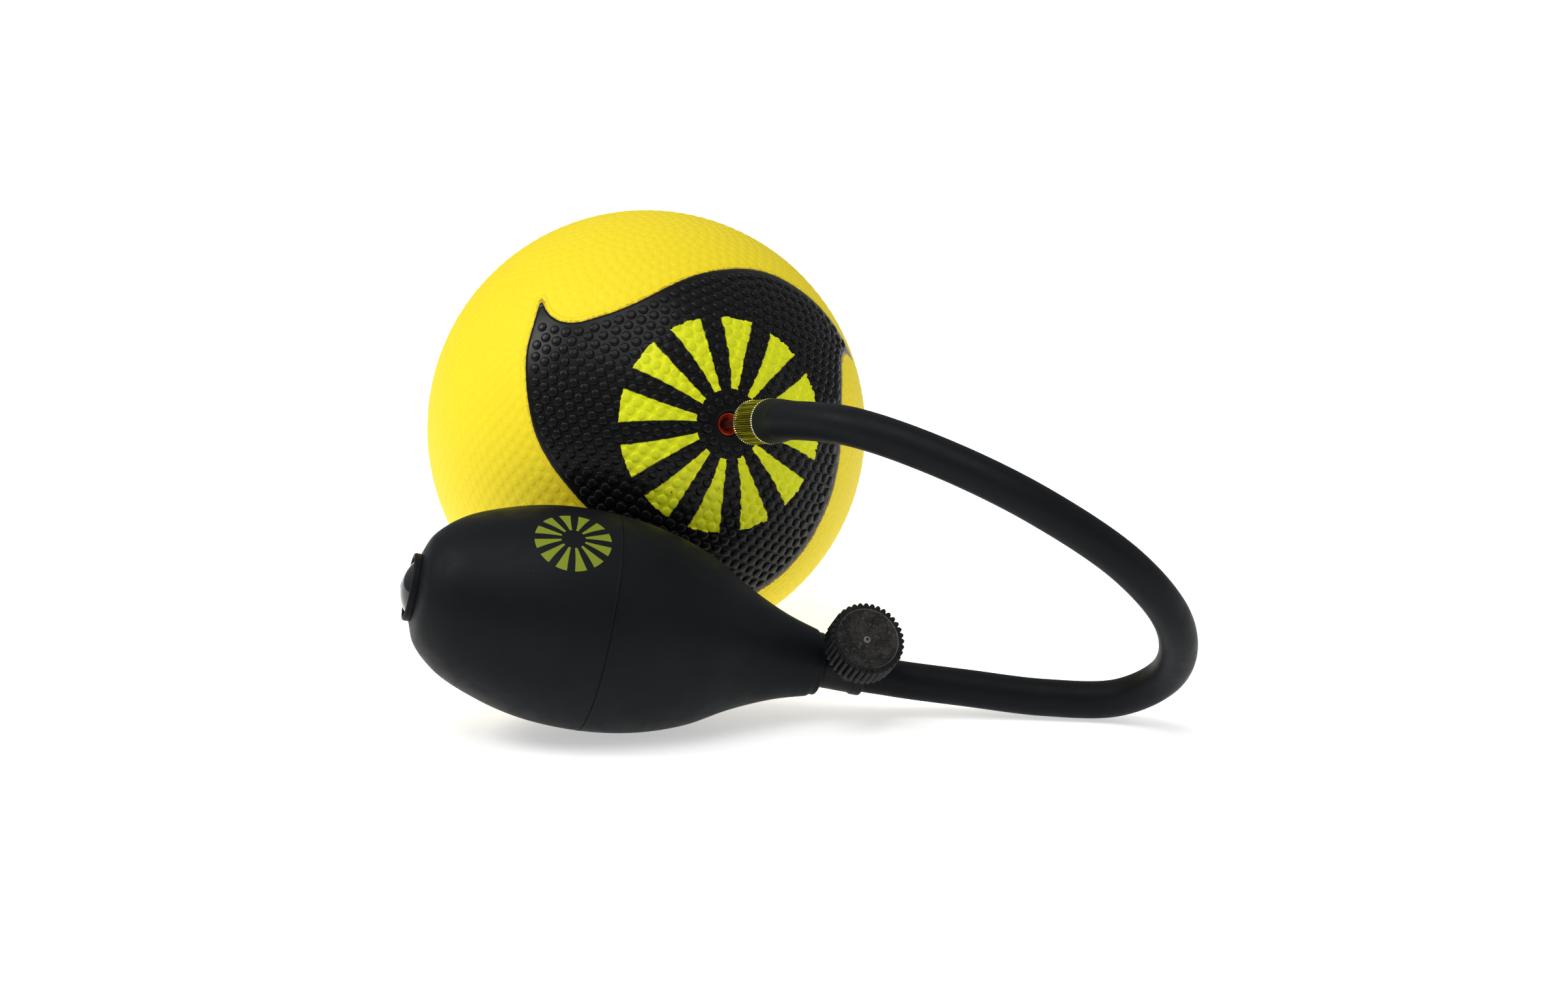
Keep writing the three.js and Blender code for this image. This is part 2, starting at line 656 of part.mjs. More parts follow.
function releaseScrew() {
  const tip = ORIFICE_HEIGHT + PAD_THICKNESS + RUNNING_GAP * 2;
  const grooveRadius = ringCentreRadius - RING_SECTION_RADIUS - PRESS_GAP;
  return turned([
    [0, tip],
    [SCREW_RADIUS, tip],
    [SCREW_RADIUS, RING_HEIGHT - ringGroove],
    [grooveRadius, RING_HEIGHT - ringGroove],
    [grooveRadius, RING_HEIGHT + ringGroove],
    [SCREW_RADIUS, RING_HEIGHT + ringGroove],
    [SCREW_RADIUS, knobUnderside + KNOB_GRIP_DEPTH],
    [0, knobUnderside + KNOB_GRIP_DEPTH],
  ], SMALL_SEGMENTS);
}

function screwRing() {
  const ring = new THREE.TorusGeometry(ringCentreRadius, RING_SECTION_RADIUS, 10, SMALL_SEGMENTS);
  return solidFrom(ring.translate(0, 0, RING_HEIGHT));
}

function releaseKnob() {
  const scalloped = ridgedPrism(
    KNOB_SCALLOPS, KNOB_RADIUS, KNOB_RADIUS - KNOB_SCALLOP_DEPTH, knobUnderside, knobFace, 4,
  );
  const dishRadius = KNOB_RADIUS - KNOB_RIM_WIDTH;
  const socketRadius = SCREW_RADIUS + PRESS_GAP;
  const socketEnd = knobUnderside + KNOB_GRIP_DEPTH + FIT_GAP;
  const shape = turned([
    [socketRadius, knobUnderside],
    [KNOB_RADIUS - KNOB_ROUNDING, knobUnderside],
    [KNOB_RADIUS, knobUnderside + KNOB_ROUNDING],
    [KNOB_RADIUS, knobFace - KNOB_ROUNDING],
    [KNOB_RADIUS - KNOB_ROUNDING, knobFace],
    [dishRadius, knobFace],
    [dishRadius - KNOB_DISH_WALL, knobFace - KNOB_DISH_DEPTH / 2],
    [KNOB_CENTRE_RADIUS, knobFace - KNOB_DISH_DEPTH],
    [0, knobFace - KNOB_DISH_DEPTH],
    [0, socketEnd],
    [socketRadius, socketEnd],
  ]);
  return scalloped.intersect(shape);
}

// ---------------------------------------------------------------- assembly

const group = new THREE.Group();

const ball = new THREE.Group();
ball.position.copy(ballCentre);
addMesh(ball, 'ball_skin', ballSkin(), yellowRubber);
group.add(ball);

const valve = new THREE.Group();
valve.applyMatrix4(valveFrame);
addMesh(valve, 'valve_housing', valveHousing(), redRubber);
addMesh(valve, 'valve_plug', valvePlug(), plugRubber);
addMesh(valve, 'needle', needle(), steel);
addMesh(valve, 'needle_washer', needleWasher(), sealRubber);
addMesh(valve, 'connector', connector(), brass);
group.add(valve);

addMesh(group, 'hose', hose(), blackRubber);

const pump = new THREE.Group();
pump.applyMatrix4(pumpFrame);
addMesh(pump, 'bulb', bulb(), blackRubber);
addMesh(pump, 'intake_body', intakeBody(), blackPlastic);
addMesh(pump, 'intake_cap', intakeCap(), glossPlastic);
addMesh(pump, 'intake_flap', flap(intakeSeat), flapRubber);
addMesh(pump, 'intake_cage', intakeCage(), blackPlastic);
addMesh(pump, 'release_body', releaseBody(), blackPlastic);
addMesh(pump, 'outlet_ring', outletRing(), blackPlastic);
addMesh(pump, 'outlet_flap', flap(outletSeat), flapRubber);
group.add(pump);

const release = new THREE.Group();
release.applyMatrix4(screwFrame);
addMesh(release, 'release_pad', releasePad(), sealRubber);
addMesh(release, 'release_screw', releaseScrew(), brass);
addMesh(release, 'screw_ring', screwRing(), sealRubber);
addMesh(release, 'release_knob', releaseKnob(), knobPlastic);
pump.add(release);

export default group;
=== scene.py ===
"""Inflatable pebbled ball with its squeeze-bulb pump: the visible pieces, the stage and the camera."""

import json
import math

import bmesh
import bpy
import numpy as np
from mathutils import Matrix, Vector, kdtree


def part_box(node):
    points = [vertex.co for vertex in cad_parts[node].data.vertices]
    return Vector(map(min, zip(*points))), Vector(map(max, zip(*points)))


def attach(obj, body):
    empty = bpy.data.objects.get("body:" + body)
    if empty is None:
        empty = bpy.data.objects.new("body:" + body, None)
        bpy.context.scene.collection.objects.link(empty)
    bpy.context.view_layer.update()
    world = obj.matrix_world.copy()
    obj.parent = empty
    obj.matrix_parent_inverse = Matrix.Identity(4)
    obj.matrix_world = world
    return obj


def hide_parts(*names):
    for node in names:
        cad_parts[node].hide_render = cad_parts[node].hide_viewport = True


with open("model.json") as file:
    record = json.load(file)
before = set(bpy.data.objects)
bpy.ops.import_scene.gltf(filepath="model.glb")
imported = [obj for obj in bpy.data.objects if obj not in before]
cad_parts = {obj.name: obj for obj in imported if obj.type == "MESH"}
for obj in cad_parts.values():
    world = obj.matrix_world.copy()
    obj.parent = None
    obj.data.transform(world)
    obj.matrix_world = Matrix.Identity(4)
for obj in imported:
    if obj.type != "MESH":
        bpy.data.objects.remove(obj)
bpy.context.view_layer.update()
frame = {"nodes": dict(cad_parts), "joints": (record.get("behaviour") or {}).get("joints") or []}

bl_info = {
    "name": "Pebbled ball and bulb pump",
    "version": (1, 0, 0),
    "blender": (4, 5, 0),
    "location": "3D View > Sidebar > Ball pump",
    "description": "Builds an inflatable pebbled ball with its squeeze-bulb pump around a CAD frame",
    "category": "Add Mesh",
}

MM = 0.001

# ------------------------------------------------------------------ frames


def axis_frame(origin, along, above=(0, 0, 1)):
    """A frame whose Z runs along an axis and whose X leans towards above."""
    z = Vector(along).normalized()
    y = z.cross(Vector(above)).normalized()
    x = y.cross(z)
    return Matrix.Translation(origin) @ Matrix((x, y, z)).transposed().to_4x4()


def joint(name):
    return next(j for j in frame["joints"] if j["name"] == name)


def box_centre(node):
    low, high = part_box(node)
    return (low + high) / 2


# millimetres
BALL_RADIUS = 63.5
FLAP_DEPTH = 4.7  # from the collar's face to the middle of the intake flap
ball_low, ball_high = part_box("ball_skin")
middle_x = (ball_low.x + ball_high.x) / 2
middle_y = (ball_low.y + ball_high.y) / 2
BALL_CENTRE = Vector((middle_x, middle_y, ball_high.z - BALL_RADIUS * MM))
VALVE = axis_frame(BALL_CENTRE, joint("needle_pull")["axis"])
PUMP_AXIS = Vector(joint("intake_flap_lift")["axis"])
PUMP = axis_frame(box_centre("intake_flap") - PUMP_AXIS * FLAP_DEPTH * MM, PUMP_AXIS)
SCREW = axis_frame(joint("release_turn")["pos_m"], joint("release_turn")["axis"])

# ------------------------------------------------------------------ routes and outlines

# the hose between its straight ends, in metres
HOSE_ROUTE = [
    (0.057, -0.1085, 0.086), (0.0795, -0.119, 0.080), (0.103, -0.126, 0.0695),
    (0.125, -0.124, 0.054), (0.1385, -0.1125, 0.036), (0.140, -0.0915, 0.0165),
    (0.1285, -0.080, 0.0065), (0.1095, -0.0765, 0.0055), (0.089, -0.0745, 0.0075),
]
HOSE_LEAD = 0.005  # between the points of a straight end
# share that the hose swells by over a barb, and how far that reaches in metres
SWELLING_AT_EXIT = (0.19, 0.014)
SWELLING_AT_ARRIVAL = (0.05, 0.010)
# millimetres from the ball's centre
CONNECTOR_BACK = 79.5
CONNECTOR_FRONT = 92.1
HOSE_EXIT = 92.4
# millimetres from the collar's face
HOSE_ARRIVAL = 123.5
BULB_COLLAR = (9.2, 1.9)  # radius and place of the bulb's first point
BULB_NECK_RADIUS = 8.4
BULB_MARK = (37.6, 32.0)  # the print's place, and degrees from the top

# bulb between collar and neck: share of its length, share of its radius
BULB_OUTLINE = [
    (0.038, 0.502), (0.1, 0.713), (0.2, 0.875), (0.3, 0.969), (0.4, 1.0), (0.5, 0.983),
    (0.6, 0.913), (0.7, 0.779), (0.8, 0.567), (0.9, 0.401),
]

# one lobe of the black panel, from one tip to the next: degrees round the valve, degrees out
PANEL_LOBE = [
    (45.5, 60.5), (54.5, 57.4), (62, 55.8), (69.5, 53.7), (78, 51.4), (88, 49.1), (98, 46.2),
    (108, 43.3), (118, 41.2), (127, 39.6), (134, 38.7), (141, 38.3), (149, 38.8), (156.5, 40.4),
    (163.5, 43.5), (168.3, 47.2), (169.8, 51.5), (168.7, 55.8), (165.5, 60.5),
]
PANEL_LOBES = 3
LINE_STEPS = 14  # between two points of a smooth line

# the printed rays
RAYS = 12
RAY_WIDTHS = (0.36, 0.60)  # share of the turn that they cover, at their inner and outer end
RAY_EDGE = 0.03

PEBBLE_SEGMENTS = 10
PEBBLE_GROWTH = 0.05
PEBBLE_TURN = 2.399  # the golden angle, so that neighbours differ in size
PEBBLE_LEAN = (0.3, 0.2, 0.93)  # sets which way round a pebble stands
SPREADING_STEPS = 26
SPREADING_PUSH = 0.28
PEBBLE_REACH = 1.16  # share of the pitch
FENCE_CLEARANCE = 0.72  # share of the pitch
FENCE_REACH = 0.86  # share of the pebbles' reach
# metres
FENCE_SPACING = 0.0009
VALVE_FENCE_RADIUS = 0.0036
VALVE_FENCE_POINTS = 36
# a pebble's outline: share of its radius, share of its height
PEBBLE_CRISP = ((1.0, -0.14), (0.93, 0.50), (0.76, 0.88), (0.42, 1.0))
PEBBLE_SOFT = ((1.0, -0.3), (0.82, 0.36), (0.60, 0.76), (0.32, 0.96))

CAMERA_PLACE = (0.03977, -0.78368, 0.22483)
CAMERA_TILT = 77
FLOOR_REACH = 8.0
# the world's glow: from height, to height, strength low, strength high
SKY = (0.0, 0.65, 0.20, 0.50)
# name, place, width, watts
LIGHTS = [
    ("key_light", (-1.05, -0.20, 1.0), 0.45, 6.6),
    ("side_light", (1.15, -0.15, 0.5), 0.3, 0.5),
    ("top_light", (-0.2, -0.6, 1.35), 1.0, 9.4),
]
LIGHTS_AIM = (0.02, -0.06, 0.05)

# ------------------------------------------------------------------ settings


def size(name, description, default):
    """A length in metres."""
    return bpy.props.FloatProperty(
        name=name,
        description=description,
        default=default,
        min=0.0,
        precision=5,
        subtype="DISTANCE",
        unit="LENGTH",
    )


def colour(name, description, default):
    return bpy.props.FloatVectorProperty(
        name=name,
        description=description,
        default=default,
        subtype="COLOR",
        size=3,
        min=0.0,
        max=1.0,
    )


def count(name, description, default):
    return bpy.props.IntProperty(name=name, description=description, default=default, min=3)


class BallSettings(bpy.types.PropertyGroup):
    skin_radius: size("Skin radius", "Ball radius between the pebbles", 0.0632)
    pebble_pitch: size("Pebble pitch", "Distance from pebble to pebble", 0.0033)
    pebble_radius: size("Pebble radius", "Radius of a pebble at its foot", 0.00144)
    pebble_height: size("Pebble height", "Height of a pebble on the black panels", 0.00056)
    soft_pebble_height: size("Soft pebble height", "Height of a pebble on the yellow", 0.00014)
    yellow: colour("Yellow", "Colour of the ball's rubber", (0.83, 0.67, 0.018))
    amber: colour("Amber", "Where black and yellow meet", (0.22, 0.075, 0.006))
    black: colour("Black", "Colour of the black panels", (0.0045, 0.0048, 0.0052))
    print_colour: colour("Print", "Colour of the printed rays", (0.76, 0.80, 0.014))
    valve_red: colour("Valve red", "Colour of the valve's rubber", (0.20, 0.010, 0.002))


class HoseSettings(bpy.types.PropertyGroup):
    diameter: size("Diameter", "Outside diameter of the hose", 0.010)
    rubber: colour("Rubber", "Colour of the hose", (0.0046, 0.0056, 0.0072))


class BulbSettings(bpy.types.PropertyGroup):
    length: size("Length", "From the collar's face to the neck's end", 0.1112)
    diameter: size("Diameter", "Bulb at its widest", 0.0578)
    parting: size("Parting line", "From the collar's face to the mould line", 0.0503)
    mark_radius: size("Mark radius", "Radius of the printed rays on the bulb", 0.0099)
    rubber: colour("Rubber", "Colour of the bulb", (0.0040, 0.0052, 0.0064))
    print_colour: colour("Print", "Colour of the printed rays", (0.20, 0.24, 0.02))


class FittingSettings(bpy.types.PropertyGroup):
    ridges: count("Knurl ridges", "Ridges round the brass connector", 60)
    scallops: count("Knob scallops", "Scallops round the release knob", 36)
    brass: colour("Brass", "Colour of the connector", (0.60, 0.52, 0.16))
    plastic: colour("Plastic", "Colour of the release valve", (0.0050, 0.0050, 0.0055))
    dust: colour("Worn plastic", "Scuffed face of the knob", (0.060, 0.056, 0.051))


class StageSettings(bpy.types.PropertyGroup):
    lens: bpy.props.FloatProperty(
        name="Lens",
        description="Focal length in millimetres",
        default=63.25,
        min=20.0,
    )


SETTINGS = {
    "ball": BallSettings,
    "hose": HoseSettings,
    "bulb": BulbSettings,
    "fitting": FittingSettings,
    "stage": StageSettings,
}


def settings(group):
    return getattr(bpy.context.scene, "ball_pump_" + group)


# ------------------------------------------------------------------ making meshes


def profile(corners, steps=5):
    """An outline in millimetres, with an arc at each corner that has a third number."""
    line = []
    for i, corner in enumerate(corners):
        here = Vector(corner[:2])
        if len(corner) == 2:
            line.append(here)
            continue
        before = (Vector(corners[i - 1][:2]) - here).normalized()
        after = (Vector(corners[(i + 1) % len(corners)][:2]) - here).normalized()
        half = before.angle(after) / 2
        reach = corner[2] / math.tan(half)
        middle = here + (before + after).normalized() * (corner[2] / math.sin(half))
        first = here + before * reach - middle
        last = here + after * reach - middle
        for k in range(steps + 1):
            line.append(middle + first.lerp(last, k / steps).normalized() * corner[2])
    return line


def spun(outline, segments, closed=False):
    """A shape turned about Z from an outline of (radius, height) in millimetres."""
    bm = bmesh.new()
    verts = [bm.verts.new((p[0] * MM, 0, p[1] * MM)) for p in outline]
    edges = [bm.edges.new(pair) for pair in zip(verts, verts[1:])]
    if closed:
        edges.append(bm.edges.new((verts[-1], verts[0])))
    bmesh.ops.spin(
        bm,
        geom=verts + edges,
        cent=(0, 0, 0),
        axis=(0, 0, 1),
        dvec=(0, 0, 0),
        angle=math.tau,
        steps=segments,
        use_merge=True,
        use_duplicate=False,
    )
    bmesh.ops.remove_doubles(bm, verts=bm.verts, dist=1e-6)
    bmesh.ops.recalc_face_normals(bm, faces=bm.faces)
    return bm


def piece(name, bm, place, body, material, replaced=(), sharp=40):
    """Turns a finished bmesh into a smooth-shaded object that rides on a body."""
    bm.transform(place)
    mesh = bpy.data.meshes.new(name)
    bm.to_mesh(mesh)
    bm.free()
    mesh.materials.append(material)
    return dress(name, mesh, body, replaced, sharp)


def dress(name, data, body, replaced=(), sharp=40):
    if isinstance(data, bpy.types.Mesh):
        data.polygons.foreach_set("use_smooth", [True] * len(data.polygons))
        data.set_sharp_from_angle(angle=math.radians(sharp))
    obj = bpy.data.objects.new(name, data)
    bpy.context.scene.collection.objects.link(obj)
    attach(obj, body)
    if replaced:
        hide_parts(*replaced)
    return obj


def coordinates(mesh):
    co = np.empty(len(mesh.vertices) * 3)
    mesh.vertices.foreach_get("co", co)
    return co.reshape(-1, 3)


def rest_on_floor(mesh):
    """Flattens what would reach through the floor."""
    co = coordinates(mesh)
    co[:, 2] = np.maximum(co[:, 2], 0)
    mesh.vertices.foreach_set("co", co.ravel())


def store(mesh, name, values):
    attribute = mesh.attributes.new(name, "FLOAT", "POINT")
    attribute.data.foreach_set("value", np.asarray(values, np.float32))


def draw_in(bm, depth_at):
    """Moves points towards Z by the millimetres that depth_at gives for their distance and turn."""
    for vert in bm.verts:
        out = math.hypot(vert.co.x, vert.co.y) / MM
        keep = 1 - depth_at(out, math.atan2(vert.co.y, vert.co.x)) / max(out, 1.0)
        vert.co.x *= keep
        vert.co.y *= keep


def tree_of(points):
    tree = kdtree.KDTree(len(points))
    for i, p in enumerate(points):
        tree.insert(p, i)
    tree.balance()
    return tree


def smooth_line(points, steps):
    """Points close together on the line that a spline makes through a few points."""
    ends = [points[0] * 2 - points[1], *points, points[-1] * 2 - points[-2]]
    line = []
    for p0, p1, p2, p3 in zip(ends, ends[1:], ends[2:], ends[3:]):
        t1 = (p1 - p0).length ** 0.5
        t2 = t1 + (p2 - p1).length ** 0.5
        t3 = t2 + (p3 - p2).length ** 0.5
        for k in range(steps):
            t = t1 + (t2 - t1) * k / steps
            a1 = p0.lerp(p1, t / t1)
            a2 = p1.lerp(p2, (t - t1) / (t2 - t1))
            a3 = p2.lerp(p3, (t - t2) / (t3 - t2))
            b1 = a1.lerp(a2, t / t2)
            b2 = a2.lerp(a3, (t - t1) / (t3 - t1))
            line.append(b1.lerp(b2, (t - t1) / (t2 - t1)))
    line.append(points[-1].copy())
    return line


# ------------------------------------------------------------------ the panel's outline


def panel_border():
    """The black panel's closed outline, as points in degrees on a flat map centred on the valve."""
    lobe = [
        Vector((out * math.cos(math.radians(turn)), out * math.sin(math.radians(turn))))
        for turn, out in PANEL_LOBE
    ]
    line = smooth_line(lobe, 4)[:-1]
    border = []
    for k in range(PANEL_LOBES):
        turn = Matrix.Rotation(math.tau * k / PANEL_LOBES, 2)
        border += [turn @ p for p in line]
    return np.array(border)


def seen_from_valve(points):
    """Places in the frame whose Z runs from the ball's centre out through the valve."""
    return (np.asarray(points) - np.array(BALL_CENTRE)) @ np.array(VALVE.to_3x3())


def flat_map(points):
    """Places on the ball, as degrees on a flat map centred on the nearer panel."""
    local = seen_from_valve(points)
    local /= np.linalg.norm(local, axis=1)[:, None]
    side = np.where(local[:, 2] >= 0, 1.0, -1.0)
    out = np.degrees(np.arccos(np.clip(local[:, 2] * side, -1, 1)))
    turn = np.arctan2(local[:, 1] * side, local[:, 0])
    return np.stack([out * np.cos(turn), out * np.sin(turn)], 1)


def panel_depth(points):
    """Millimetres inside a black panel's border, negative outside it."""
    border = panel_border()
    here = flat_map(points)
    start, end = border, np.roll(border, -1, axis=0)
    along = end - start
    best = np.full(len(here), 1e9)
    inside = np.zeros(len(here), bool)
    for s, e, d in zip(start, end, along):
        t = np.clip(((here - s) @ d) / (d @ d), 0, 1)
        best = np.minimum(best, np.linalg.norm(here - s - t[:, None] * d, axis=1))
        crosses = (s[1] > here[:, 1]) != (e[1] > here[:, 1])
        rise = np.where(crosses, here[:, 1] - s[1], 0) / (d[1] or 1e-9)
        inside ^= crosses & (here[:, 0] < s[0] + rise * d[0])
    mm = best * math.radians(1) * BALL_RADIUS
    return np.where(inside, mm, -mm)


# ------------------------------------------------------------------ making finishes


class Nodes:
    """One material's nodes, made in order."""

    def __init__(self, name, **shader):
        self.material = bpy.data.materials.new(name)
        self.material.use_nodes = True
        self.tree = self.material.node_tree
        self.shader = self.tree.nodes["Principled BSDF"]
        for key, value in shader.items():
            self.plug(self.shader.inputs[key.replace("_", " ")], value)
        self.place = self.add("ShaderNodeTexCoord").outputs["Object"]

    def plug(self, socket, value):
        if isinstance(value, bpy.types.NodeSocket):
            self.tree.links.new(value, socket)
        elif socket.type == "RGBA":
            socket.default_value = (*value, 1.0)
        else:
            socket.default_value = value

    def add(self, kind, inputs=(), **options):
        node = self.tree.nodes.new(kind)
        for key, value in options.items():
            setattr(node, key, value)
        for key, value in dict(inputs).items():
            self.plug(node.inputs[key], value)
        return node

    def set(self, name, value):
        self.plug(self.shader.inputs[name], value)

    def math(self, operation, *values):
        node = self.add("ShaderNodeMath", operation=operation)
        for socket, value in zip(node.inputs, values):
            self.plug(socket, value)
        return node.outputs[0]

    def times(self, a, b):
        return self.math("MULTIPLY", a, b)

    def between(self, value, low, high, to_low=0.0, to_high=1.0):
        """A smooth step from to_low to to_high as value goes from low to high."""
        node = self.add("ShaderNodeMapRange", interpolation_type="SMOOTHSTEP")
        for key, number in zip(range(5), (value, low, high, to_low, to_high)):
            self.plug(node.inputs[key], number)
        return node.outputs[0]

    def mix(self, share_of_b, a, b):
        node = self.add("ShaderNodeMix", data_type="RGBA")
        for key, value in ((0, share_of_b), (6, a), (7, b)):
            self.plug(node.inputs[key], value)
        return node.outputs[2]

    def blend(self, share_of_b, a, b):
        node = self.add("ShaderNodeMix", data_type="FLOAT")
        for key, value in ((0, share_of_b), (2, a), (3, b)):
            self.plug(node.inputs[key], value)
        return node.outputs[0]

    def noise(self, scale, detail=2.0, roughness=0.5, vector=None):
        inputs = {"Scale": scale, "Detail": detail, "Roughness": roughness}
        inputs["Vector"] = vector or self.place
        return self.add("ShaderNodeTexNoise", inputs).outputs["Fac"]

    def attribute(self, name):
        return self.add("ShaderNodeAttribute", attribute_name=name).outputs["Fac"]

    def local(self, place):
        """Object coordinates seen from another frame, in millimetres."""
        back = place.inverted()
        node = self.add("ShaderNodeMapping", vector_type="POINT")
        self.plug(node.inputs["Vector"], self.place)
        node.inputs["Location"].default_value = back.translation / MM
        node.inputs["Rotation"].default_value = back.to_euler()
        node.inputs["Scale"].default_value = (1 / MM,) * 3
        return node.outputs["Vector"]

    def bump(self, height, distance, strength, normal=None):
        inputs = {"Height": height, "Distance": distance, "Strength": strength}
        if normal is not None:
            inputs["Normal"] = normal
        return self.add("ShaderNodeBump", inputs).outputs["Normal"]

    def round_axis(self, place):
        """Coordinates in a frame, in millimetres, and the turn about its Z in radians."""
        split = self.add("ShaderNodeSeparateXYZ", {0: self.local(place)}).outputs
        return split, self.math("ARCTAN2", split[1], split[0])

    def away_from_axis(self, split):
        squares = [self.math("POWER", split[k], 2.0) for k in (0, 1)]
        return self.math("SQRT", self.math("ADD", *squares))

    def rays(self, turn, out, inner, outer):
        """Tapered rays round a point: 1 on a ray, 0 off it."""
        phase = self.math("FRACT", self.times(turn, RAYS / math.tau))
        away = self.math("ABSOLUTE", self.math("MULTIPLY_ADD", phase, 2.0, -1.0))
        edge = self.between(out, inner, outer, *RAY_WIDTHS)
        edge.node.interpolation_type = "LINEAR"
        on = self.between(self.math("SUBTRACT", away, edge), -RAY_EDGE, RAY_EDGE, 1.0, 0.0)
        started = self.between(out, inner - RAY_EDGE, inner + RAY_EDGE)
        ended = self.between(out, outer - RAY_EDGE, outer + RAY_EDGE, 1.0, 0.0)
        return self.times(on, self.times(started, ended))


def ball_rubber():
    """Yellow rubber with black panels, and a rayed print round the valve."""
    s = settings("ball")
    n = Nodes("ball_rubber", Roughness=0.5, Specular_IOR_Level=0.13)
    depth = n.attribute("panel")
    crown = n.attribute("crown")
    fuzz = n.noise(900, 3, 0.6)
    edge = n.math("MULTIPLY_ADD", n.math("SUBTRACT", fuzz, 0.5), 0.35, depth)
    black = n.between(edge, -0.06, 0.06)
    ragged_depth = n.math("MULTIPLY_ADD", n.math("SUBTRACT", fuzz, 0.5), 2.8, depth)
    fringe = n.between(ragged_depth, -1.0, 0.05)
    patchy = n.between(n.noise(16, 2), 0.36, 0.60, 0.25, 1.0)
    fringe = n.times(fringe, patchy)
    tone = n.between(n.noise(28, 3), 0.35, 0.7)
    yellow = n.mix(n.times(tone, 0.35), s.yellow, (0.84, 0.635, 0.014))
    yellow = n.mix(n.times(fringe, 0.95), yellow, s.amber)
    scuff = n.between(n.noise(140, 5, 0.7), 0.5, 0.8)
    dark = n.mix(n.times(scuff, 0.5), s.black, (0.0065, 0.0070, 0.0078))
    speck = n.between(n.noise(1500, 1), 0.79, 0.83)
    dark = n.mix(n.times(speck, 0.35), dark, (0.10, 0.10, 0.10))

    # the rayed print
    local = n.local(VALVE)
    split = n.add("ShaderNodeSeparateXYZ", {0: local}).outputs
    reach = n.add("ShaderNodeVectorMath", {0: local}, operation="LENGTH").outputs[1]
    out = n.math("ARCCOSINE", n.math("DIVIDE", split[2], reach))
    out = n.times(out, BALL_RADIUS)
    ragged = n.math("SUBTRACT", n.noise(700, 3, 0.65), 0.5)
    out = n.math("MULTIPLY_ADD", ragged, 1.1, out)
    turn = n.math("ARCTAN2", split[1], split[0])
    turn = n.math("MULTIPLY_ADD", ragged, 0.022, turn)
    rays = n.rays(turn, out, 9.5, 30.5)
    lime = n.mix(n.between(crown, 0.55, 0.95, 0.0, 0.45), s.print_colour, (0.50, 0.53, 0.012))
    lime = n.mix(n.between(n.noise(60, 3), 0.4, 0.75, 0, 0.35), lime, (0.42, 0.50, 0.010))
    pinhole = n.between(n.noise(1100, 2), 0.74, 0.78)
    rays = n.times(rays, n.math("SUBTRACT", 1.0, pinhole))
    dark = n.mix(rays, dark, lime)

    n.set("Base Color", n.mix(black, yellow, dark))
    rough = n.blend(black, 0.55, n.between(n.noise(300, 4), 0.3, 0.8, 0.24, 0.32))
    n.set("Roughness", rough)
    step = n.between(depth, -1.9, -1.2)
    grain = n.bump(n.noise(2600, 3, 0.6), 0.00004, 0.35)
    line = n.bump(step, 0.00030, 0.8, grain)
    n.set("Normal", n.bump(n.between(depth, -0.15, 0.75), 0.00022, 0.8, line))
    return n.material


def soft_rubber(name, base, lighter):
    """Matte black rubber with a faint bloom, fine grain and a few specks of dust."""
    n = Nodes(name, Specular_IOR_Level=0.085)
    bloom = n.between(n.noise(22, 4, 0.6), 0.35, 0.75)
    shade = n.mix(n.times(bloom, 0.6), base, lighter)
    cells = n.add("ShaderNodeTexVoronoi", {"Vector": n.place, "Scale": 260.0})
    dot = n.between(cells.outputs["Distance"], 0.035, 0.055, 1.0, 0.0)
    draw = n.add("ShaderNodeSeparateColor", {0: cells.outputs["Color"]}).outputs[0]
    chosen = n.between(draw, 0.90, 0.91)
    dust = n.times(n.times(dot, chosen), 0.9)
    n.set("Base Color", n.mix(dust, shade, (0.22, 0.22, 0.20)))
    n.set("Roughness", n.between(n.noise(180, 5, 0.65), 0.3, 0.75, 0.44, 0.56))
    n.set("Normal", n.bump(n.noise(3200, 3, 0.6), 0.00003, 0.4))
    return n


def bulb_rubber():
    """The bulb's rubber, with the rayed print in front."""
    s = settings("bulb")
    n = soft_rubber("bulb_rubber", s.rubber, (0.0070, 0.0088, 0.0102))
    centre, normal = bulb_spot(*BULB_MARK)
    split, turn = n.round_axis(axis_frame(centre, normal, PUMP_AXIS))
    ragged = n.math("SUBTRACT", n.noise(2200, 2), 0.5)
    out = n.math("MULTIPLY_ADD", ragged, 0.12, n.away_from_axis(split))
    edge = s.mark_radius / MM
    rays = n.rays(turn, out, edge * 0.32, edge)
    near = n.between(split[2], -8.0, -6.0)
    rays = n.times(rays, near)
    old = n.shader.inputs["Base Color"].links[0].from_socket
    n.set("Base Color", n.mix(rays, old, s.print_colour))
    return n.material


def valve_rubber():
    s = settings("ball")
    n = Nodes("valve_rubber", Roughness=0.2, Specular_IOR_Level=0.45)
    cloud = n.between(n.noise(700, 3), 0.35, 0.7)
    n.set("Base Color", n.mix(cloud, s.valve_red, (0.42, 0.035, 0.004)))
    n.set("Normal", n.bump(n.noise(900, 3), 0.0002, 0.5))
    n.set("Subsurface Weight", 0.3)
    n.set("Subsurface Radius", (1.0, 0.2, 0.05))
    n.set("Subsurface Scale", 0.002)
    return n.material


